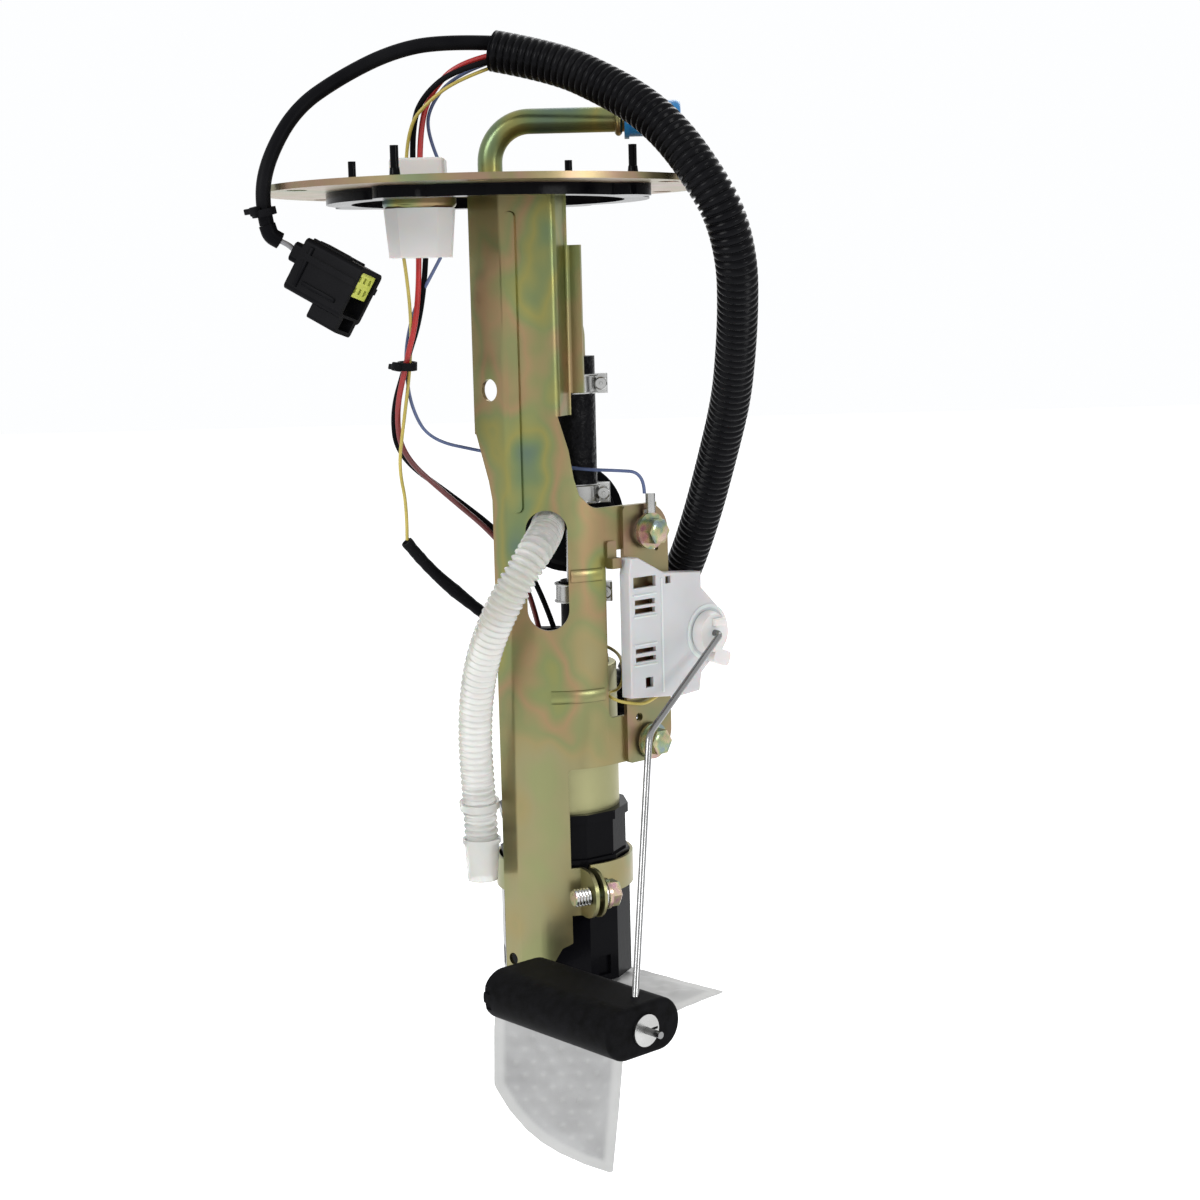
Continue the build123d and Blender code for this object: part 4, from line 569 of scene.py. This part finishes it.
# %% Splice sleeve and sender wire
SENDER_ORIGIN = Vector((34.458, -13.390, 0))
SENDER_TURN = math.radians(42)
ALONG = Vector((math.cos(SENDER_TURN), math.sin(SENDER_TURN), 0))
OUT = Vector((math.sin(SENDER_TURN), -math.cos(SENDER_TURN), 0))


def sender(u, z, off):
    """A point in millimetres from the level sender's own directions."""
    return SENDER_ORIGIN + ALONG * u + OUT * off + Vector((0, 0, z))


SLEEVE_R = 2.0
SLEEVE_SKIN = 1.95
CRIMP_SWELL, CRIMP_AT, CRIMP_WIDTH = 0.28, 0.55, 0.13
RIPPLE = 0.16
sleeve_route = [(-30.4, -0.2, -113.0), (-25.0, 3.0, -121.0), (-14.0, 8.0, -132.5),
                (-2.5, 14.0, -143.0)]
sleeve_path = curve_points(sleeve_route)
spots = resample(sleeve_path, 0.0007)
swell = []
for i in range(len(spots)):
    crimp = CRIMP_SWELL * math.exp(-((i / len(spots) - CRIMP_AT) / CRIMP_WIDTH) ** 2)
    swell.append(SLEEVE_SKIN + crimp + RIPPLE * noise.noise((i * 0.33, 0, 0)))
sleeve = tube_mesh("splice_tube", spots, [r * MM for r in swell])
declare(sleeve, "splice_sleeve", sleeve_route, sleeve_path, SLEEVE_R, finishes["black_plastic"],
        far_end="object", stiffness="medium", lay="hanging")
sender_route = [
    (-2.5, 14.0, -143.0), (9.0, 20.0, -148.5), (25.0, 20.5, -150.0), (38.5, 12.0, -152.5),
    sender(13.0, -158.0, -5.6), sender(9.5, -163.4, -3.8), sender(2.2, -163.6, -3.4),
    sender(2.4, -165.6, 1.8), sender(8.2, -167.2, 3.3), sender(14.8, -168.2, 3.3),
    sender(19.5, -166.2, 3.2),
]
wire("sender_run", "sender_wire", sender_route, THIN_R, "yellow_wire", far_end="object",
     stiffness="limp", lay="hanging")
print(f"sleeve {1000 * run_length(sleeve_path):.0f} mm long")

# %% [markdown]
# ## Strainer
# The real sock is two layers of fine polyester mesh, sealed round the rim and in rows of small
# spots, with a slack space between, and it keeps dirt out of the pump. Each pocket starts as a
# fine grid that is cut along its outline with bisect_plane, is extruded to two layers, and swells
# where nothing seals it. A cloth simulation could fill it too, but the sock is thin and stiff, so
# its rise from the rim and a little noise say enough and stay the same on every run.

# %% Strainer pockets
RIM = 2.2
SPOT_PITCH = 6.2
ROW_PITCH = 4.6
SPOT_R = 0.9
SWELL_RUN = 6
FILM = 0.18
CELLS_PER_MM = 1.2


def pocket(bm, outline, place, thick, seed, spotted):
    """Adds a sealed two-layer pocket; outline is convex and place turns (x, y, h) into a point."""
    low = Vector([min(p[i] for p in outline) for i in (0, 1)])
    high = Vector([max(p[i] for p in outline) for i in (0, 1)])
    middle, half = (low + high) / 2, (high - low) / 2
    piece = bmesh.new()
    bmesh.ops.create_grid(piece, x_segments=round(half.x * 2 * CELLS_PER_MM),
                          y_segments=round(half.y * 2 * CELLS_PER_MM), size=1)
    bmesh.ops.scale(piece, verts=piece.verts, vec=(half.x, half.y, 1))
    bmesh.ops.translate(piece, verts=piece.verts, vec=(*middle, 0))
    sides = []
    for a, b in zip(outline, outline[1:] + outline[:1]):
        run = (Vector(b) - Vector(a)).normalized()
        outward = Vector((run.y, -run.x))
        if outward.dot(Vector(a) - middle) < 0:
            outward = -outward
        sides.append((Vector(a), outward))
        everything = piece.verts[:] + piece.edges[:] + piece.faces[:]
        bmesh.ops.bisect_plane(piece, geom=everything, dist=1e-5, plane_co=(*a, 0),
                               plane_no=(*outward, 0), clear_outer=True)
    weld = piece.verts.layers.float.new("weld")
    made = bmesh.ops.extrude_face_region(piece, geom=piece.faces[:], use_keep_orig=True)["geom"]
    upper = {v for v in made if isinstance(v, bmesh.types.BMVert)}
    for v in piece.verts:
        flat = v.co.xy
        inside = min(-(flat - a).dot(out) for a, out in sides)
        row = round(flat.y / ROW_PITCH)
        shift = SPOT_PITCH / 2 * (row % 2)
        column = round((flat.x - shift) / SPOT_PITCH)
        spot = Vector((column * SPOT_PITCH + shift, row * ROW_PITCH))
        gap = (flat - spot).length
        rise = min(max((inside - RIM) / SWELL_RUN, 0), 1)
        rise = rise * rise * (3 - 2 * rise)
        dip = math.exp(-(gap / SPOT_R) ** 2) * rise * spotted
        swell_here = FILM + (thick / 2 - 0.35) * rise * (1 - 0.35 * dip)
        wrinkle = noise.noise(Vector((flat.x * 0.10, flat.y * 0.22, seed))) * 0.9
        wrinkle += noise.noise(Vector((flat.x * 0.35, flat.y * 0.16, seed + 5))) * 0.35
        v[weld] = max(1 - rise * 4, 0) * 0.6 + dip * 0.3 + (0.35 if not spotted else 0)
        height = wrinkle * (0.25 + 0.75 * rise) + (swell_here if v in upper else -swell_here)
        v.co = place(flat.x, flat.y, height) * MM
    bmesh.ops.recalc_face_normals(piece, faces=piece.faces)
    part = bpy.data.meshes.new("pocket")
    piece.to_mesh(part)
    piece.free()
    bm.from_mesh(part)
    bpy.data.meshes.remove(part)


PUMP = Vector((18.8, 4.0, 0))
FLAP_Z = -263.5
LOBE_Y = 6.0
flap = [(-2.0, -30.0), (17.0, -36.0), (23.5, 51.0), (-4.5, 53.5)]
flap = [tuple((PUMP + ALONG * u + OUT * off).xy) for u, off in flap]
lobe = [(-6.6, -265.0), (-7.1, -282.8), (-8.7, -299.6), (-7.1, -304.0), (-2.8, -311.8),
        (2.8, -319.0), (8.2, -324.0), (14.3, -328.1), (22.5, -332.2), (31.4, -335.6),
        (32.5, -335.2), (35.1, -313.0), (37.0, -294.0), (38.2, -265.0)]
sock_bm = bmesh.new()
sock_bm.verts.layers.float.new("weld")
pocket(sock_bm, flap, lambda x, y, h: Vector((x, y, FLAP_Z + h)), 3.4, 3, 0)
pocket(sock_bm, lobe, lambda x, z, h: Vector((x, LOBE_Y - h, z)), 4.6, 11, 1)
sock_mesh = bpy.data.meshes.new("strainer_cloth")
for face in sock_bm.faces:
    face.smooth = True
sock_bm.to_mesh(sock_mesh)
print(f"strainer cloth has {len(sock_bm.faces)} faces")
sock_bm.free()
sock = bpy.data.objects.new("strainer_cloth", sock_mesh)
collection.objects.link(sock)
sock.data.materials.append(finishes["filter_cloth"])
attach(sock, "module")
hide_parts("strainer_sock")

# %% [markdown]
# ## Turned and moulded details
# Threads, screw crowns, clamp lips and tie heads are small, but they catch the light. Turned ones
# are a profile spun about an axis, as a lathe would cut them. Moulded ones are a cube with its
# edges bevelled, because no moulded edge is sharp. Two builders serve them all.


# %% Detail builders
SHARP = math.radians(38)


def place_piece(bm, name, slot, turn, body="module"):
    """Turns a bmesh in millimetres into a piece of the scene on a body."""
    bmesh.ops.remove_doubles(bm, verts=bm.verts, dist=1e-4)
    bmesh.ops.recalc_face_normals(bm, faces=bm.faces)
    for face in bm.faces:
        face.smooth = True
    for edge in bm.edges:
        edge.smooth = edge.calc_face_angle(0) < SHARP
    bmesh.ops.transform(bm, matrix=Matrix.Scale(MM, 4) @ turn, verts=bm.verts)
    mesh = bpy.data.meshes.new(name)
    bm.to_mesh(mesh)
    bm.free()
    obj = bpy.data.objects.new(name, mesh)
    collection.objects.link(obj)
    obj.data.materials.append(finishes[slot])
    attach(obj, body)


def facing(origin, direction, side=None):
    """A matrix that puts z along a direction at an origin in millimetres."""
    z = Vector(direction).normalized()
    x = Vector(side).normalized() if side else z.orthogonal().normalized()
    x = (x - z * x.dot(z)).normalized()
    y = z.cross(x)
    return Matrix.Translation(origin) @ Matrix((x, y, z)).transposed().to_4x4()


def turned(name, slot, profile, origin, direction, steps=40):
    """A profile of (radius, height) spun about an axis."""
    bm = bmesh.new()
    points = [bm.verts.new((r, 0, h)) for r, h in profile]
    edges = [bm.edges.new(pair) for pair in zip(points, points[1:])]
    if profile[0][0] > 0 and profile[-1][0] > 0:
        edges.append(bm.edges.new((points[-1], points[0])))
    bmesh.ops.spin(bm, geom=points + edges, cent=(0, 0, 0), axis=(0, 0, 1), angle=2 * math.pi,
                   steps=steps, use_merge=True)
    place_piece(bm, name, slot, facing(origin, direction))


def moulded(name, slot, size, origin, direction, side, edge=0.4, body="module"):
    """A block with soft edges, centred on an origin."""
    bm = bmesh.new()
    bmesh.ops.create_cube(bm, size=1)
    bmesh.ops.scale(bm, verts=bm.verts, vec=size)
    bmesh.ops.bevel(bm, geom=bm.edges[:], offset=edge, segments=3, profile=0.5,
                    affect="EDGES", material=-1)
    place_piece(bm, name, slot, facing(origin, direction, side), body)


print("detail builders ready")

# %% [markdown]
# ## Threads and screw crowns
# A rolled thread is a helix, but from any distance it reads as rings, and rings are one profile
# spun once. They stand for the thread of the clamp bolt and of the two sender screws. A forged
# screw head is a little domed, so each one gets a low crown.

# %% Threads and screw crowns
THREAD_PITCH = 1.1
THREAD_DEPTH = 0.45
SCREW_R = 2.5


def thread(name, radius, low, high, origin, direction):
    """Rings that stand for a thread between two heights on an axis."""
    profile = [(radius - 0.3, low)]
    for k in range(int((high - low) / THREAD_PITCH)):
        start = low + k * THREAD_PITCH
        crest = radius + THREAD_DEPTH
        profile += [(radius - 0.02, start), (crest, start + 0.5), (crest, start + 0.6)]
    profile += [(radius - 0.02, high), (radius - 0.3, high)]
    turned(name, "steel", profile, origin, direction)


EAR_AXIS = (27.684, -23.856, -228.0)
EAR_OUT = (-0.891, -0.454, 0)
thread("clamp_bolt_thread", SCREW_R, 0.75, 6.3, EAR_AXIS, EAR_OUT)
SCREW_U = 17.4
HEAD_H = 5.0
crown = [(0, 0.42), (2.6, 0.38), (3.3, 0.0), (3.3, -0.6)]
for name, level, seat in (("upper", -110.8, 3.3), ("lower", -181.0, 2.5)):
    turned(f"{name}_screw_crown", "zinc_bolt", crown, sender(SCREW_U, level, seat + HEAD_H), OUT)
    thread(f"{name}_screw_thread", SCREW_R, 4.8, 6.2, sender(SCREW_U, level, 0), -OUT)
print("threads and crowns on the screws")

# %% [markdown]
# ## Hose clamps
# Each clamp is a steel band whose edges are rolled outwards so that they don't cut the hose, and a
# screw draws it tight. The lips are one small profile spun about the fuel line, twice per clamp.
# The screw's head is another, with a sunken ring that catches the light as a slot would.

# %% Hose clamps
LINE_X, LINE_Y = 26, 4
LIP_GAP = 2.85
lip = [(7.6, -0.35), (8.15, -0.3), (8.3, 0), (8.15, 0.3), (7.6, 0.35)]
head = [(0, 2.2), (0.5, 2.2), (0.6, 1.5), (1.7, 1.5), (1.8, 2.2), (2.1, 2.0), (2.1, 0), (0, 0)]
clamp_levels = (-62.6, -98.5, -131.5)
for number, level in enumerate(clamp_levels):
    for end, side in (("low", -1), ("high", 1)):
        turned(f"clamp_lip_{number}_{end}", "steel", lip,
               (LINE_X, LINE_Y, level + side * LIP_GAP), (0, 0, 1))
    turned(f"clamp_screw_{number}", "steel", head, (34.9, 1.9, level), (0, -1, 0))
print(f"{len(clamp_levels)} hose clamps dressed")

# %% [markdown]
# ## Cable ties
# A tie is a toothed strap that is pulled through its own head and cut off. The band is already in
# the frame; the head and the short end that was left stand off it, and they are what the eye
# finds. Both are small bevelled blocks, turned to face away from the wires.

# %% Cable ties
for name, at, head_at, along in (
    ("wires", (-27.4, -7.7, -55.2), (-30.6, -10.0, -55.3), (-0.2, -0.1, -1)),
    ("lead", (-66.9, -37.5, -6.5), (-69.2, -40.2, -6.3), (0.18, 0.13, -1)),
):
    out = Vector(head_at) - Vector(at)
    moulded(f"tie_head_{name}", "black_plastic", (2.9, 2.6, 2.8), head_at, along, out, 0.5)
    tail = Vector(head_at) + Vector((out.y, -out.x, 0)).normalized() * 3.0
    moulded(f"tie_tail_{name}", "black_plastic", (0.9, 3.6, 1.8), tail, along, out, 0.3)
print("ties have heads and tails")

# %% [markdown]
# ## Feet of the gasket tails
# The gasket hangs on four rubber tails that are pulled up through the flange. Each tail has a
# flare that snaps over the hole's edge and keeps it there. A flare is round, so it is turned.

# %% Feet of the gasket tails
TAIL_RING = 53
FLANGE_TOP = 2.0
flare = [(1.2, 3.6), (1.45, 3.4), (1.7, 1.2), (2.4, 0.3), (2.4, 0), (1.2, 0)]
tail_degrees = (-29, 61, 151, 241)
for number, degrees in enumerate(tail_degrees):
    turn = math.radians(degrees)
    foot = (TAIL_RING * math.cos(turn), TAIL_RING * math.sin(turn), FLANGE_TOP)
    turned(f"tail_foot_{number}", "black_rubber", flare, foot, (0, 0, 1))
print(f"{len(tail_degrees)} tails with flared feet")

# %% [markdown]
# ## Ribs on the harness plug
# Ribs stiffen the plug's shell, key it to its socket and give a thumb something to push on. The
# plug hangs at its own angle, so a frame of three directions is set up once and every rib is
# placed in it: across the wide side, across the deep side, and along to the mouth.

# %% Plug shell
PLUG_AXIS = Vector((0.793, -0.423, -0.439)).normalized()
PLUG_WIDE = Vector((0.484, 0, 0.875))
PLUG_WIDE = (PLUG_WIDE - PLUG_AXIS * PLUG_WIDE.dot(PLUG_AXIS)).normalized()
PLUG_DEEP = PLUG_AXIS.cross(PLUG_WIDE)
PLUG_START = Vector((-57.6, -35.8, -18.8))


def plug(wide, deep, along):
    """A point in the plug's own directions."""
    return PLUG_START + PLUG_WIDE * wide + PLUG_DEEP * deep + PLUG_AXIS * along


ribs = (
    (6.0, 0, 12.0, (1.6, 6.0, 9.0)),
    (6.0, 3.8, 13.5, (1.3, 1.4, 15.0)),
    (6.0, -3.8, 13.5, (1.3, 1.4, 15.0)),
    (-2.5, -6.5, 8.5, (13.0, 1.2, 1.4)),
    (-2.5, 6.5, 8.5, (13.0, 1.2, 1.4)),
    (-7.0, -6.5, 17.0, (1.4, 1.2, 13.0)),
    (-7.0, 6.5, 17.0, (1.4, 1.2, 13.0)),
)
for number, (wide, deep, along, size) in enumerate(ribs):
    moulded(f"plug_rib_{number}", "grey_plastic", size, plug(wide, deep, along),
            PLUG_AXIS, PLUG_WIDE, 0.3)
print(f"{len(ribs)} ribs on the plug")

# %% [markdown]
# ## Sender housing
# The housing is one nylon moulding of even wall, so it is stiffened by ribs and not by bulk. A
# raised rim stands round the hub, and a hook on the hub holds the rod. The hook swings with the
# rod, so it rides on the float arm's body; the rest stays with the module.

# %% Sender housing ribs
HOUSING_FACE = 6.2
well = [(8.3, -0.3), (8.3, 0.22), (8.5, 0.28), (9.3, 0.28), (9.5, 0.22), (9.5, -0.3)]
turned("hub_well", "white_nylon", well, sender(40.5, -147.0, HOUSING_FACE), OUT, 64)
housing_ribs = (
    (19.6, -145.5, 0.7, 38.0), (12.0, -131.2, 10.4, 0.6), (12.0, -138.4, 10.4, 0.6),
    (12.0, -147.6, 10.4, 0.6), (12.0, -154.4, 10.4, 0.6), (27.8, -164.0, 0.8, 5.0),
)
for number, (u, z, wide, tall) in enumerate(housing_ribs):
    moulded(f"housing_rib_{number}", "white_nylon", (wide, tall, 0.7),
            sender(u, z, HOUSING_FACE), OUT, ALONG, 0.2)
moulded("hub_hook", "white_nylon", (5.2, 2.6, 2.4), sender(42.0, -143.4, 10.2), OUT, ALONG, 0.5,
        "float_arm")
print(f"{len(housing_ribs)} ribs, a rim and a hook on the housing")

# %% [markdown]
# ## Light and floor
# A white studio: three broad soft lights and a pale floor under the strainer that keeps the
# shadow. The world is white to the camera and in what metal and clear plastic show, but dimmer as
# a light, so that colours render about as they are written. It is brighter from behind than from
# the front, which rounds off the sides of the dark pieces.


# %% Stage
def area_light(name, place, target, size, power):
    """A soft square light aimed at a target."""
    data = bpy.data.lights.new(name, "AREA")
    data.shape = "SQUARE"
    data.size = size
    data.energy = power
    obj = bpy.data.objects.new(name, data)
    obj.location = place
    obj.rotation_euler = (Vector(target) - Vector(place)).to_track_quat("-Z", "Y").to_euler()
    collection.objects.link(obj)


ROOM = 0.34
ROOM_BEHIND = 0.95
KEY = 8
FILL = 4
RIM_LIGHT = 4
FLOOR_Z = -0.42
FLOOR_GLOW = 0.62
scene.view_settings.view_transform = "Standard"
world = bpy.data.worlds.new("studio")
scene.world = world
world.use_nodes = True
tree = world.node_tree
tree.nodes["Background"].inputs["Color"].default_value = (0.985, 0.992, 1.0, 1)
coords = tree.nodes.new("ShaderNodeTexCoord")
split = tree.nodes.new("ShaderNodeSeparateXYZ")
level = tree.nodes.new("ShaderNodeMapRange")
level.inputs["From Min"].default_value = -0.1
level.inputs["From Max"].default_value = 0.8
level.inputs["To Min"].default_value = ROOM
level.inputs["To Max"].default_value = ROOM_BEHIND
path_info = tree.nodes.new("ShaderNodeLightPath")
seen = tree.nodes.new("ShaderNodeMath")
seen.operation = "MAXIMUM"
tree.links.new(coords.outputs["Generated"], split.inputs["Vector"])
tree.links.new(split.outputs["Y"], level.inputs["Value"])
tree.links.new(level.outputs["Result"], seen.inputs[0])
shown = path_info.outputs["Is Camera Ray"]
for ray in ("Is Glossy Ray", "Is Transmission Ray"):
    either = tree.nodes.new("ShaderNodeMath")
    either.operation = "MAXIMUM"
    tree.links.new(shown, either.inputs[0])
    tree.links.new(path_info.outputs[ray], either.inputs[1])
    shown = either.outputs["Value"]
tree.links.new(shown, seen.inputs[1])
tree.links.new(seen.outputs["Value"], tree.nodes["Background"].inputs["Strength"])
area_light("key", (-0.75, -0.7, 0.55), (0, 0, -0.12), 0.5, KEY)
area_light("fill", (0.85, -0.75, 0.2), (0, 0, -0.15), 0.35, FILL)
area_light("rim", (0.35, 0.8, 0.6), (0, 0, -0.1), 0.6, RIM_LIGHT)

floor_mesh = bpy.data.meshes.new("floor")
bm = bmesh.new()
bmesh.ops.create_grid(bm, x_segments=4, y_segments=4, size=6)
bmesh.ops.translate(bm, verts=bm.verts, vec=(0, 0, FLOOR_Z))
bm.to_mesh(floor_mesh)
bm.free()
floor = bpy.data.objects.new("floor", floor_mesh)
collection.objects.link(floor)
paper = plain("floor", (0.86, 0.87, 0.88), (0.88, 0.89, 0.90), 0.8, 0, 3, 40, 0.0,
              Emission_Color=(1, 1, 1, 1), Emission_Strength=FLOOR_GLOW)
floor.data.materials.append(paper)
print("three lights, a white world and a floor")

# %% [markdown]
# ## Camera
# The camera stands a little above the middle of the module and looks slightly down, as in a
# catalogue picture, so that the flange shows as a thin ellipse and the whole length stays in view.
# Its axes are built one by one: where it looks, what is to its right, and a small roll.

# %% Camera
PITCH = math.atan2(305, 2150)
ROLL = math.radians(1.4)
LENS = 64.5
SENSOR = 36
STAND = Vector((0.03288, -0.705, -0.034))
look = Vector((0, math.cos(PITCH), -math.sin(PITCH)))
right = Vector((1, 0, 0))
up = right.cross(look)
right, up = (right * math.cos(ROLL) - up * math.sin(ROLL),
             right * math.sin(ROLL) + up * math.cos(ROLL))
camera_data = bpy.data.cameras.new("camera")
camera_data.lens = LENS
camera_data.sensor_width = SENSOR
camera = bpy.data.objects.new("camera", camera_data)
turn = Matrix((right, up, -look)).transposed().to_4x4()
camera.matrix_world = Matrix.Translation(STAND) @ turn
collection.objects.link(camera)
scene.camera = camera
print(f"camera lens {LENS} mm, {-STAND.y:.3f} m away, {math.degrees(PITCH):.1f} degrees down")
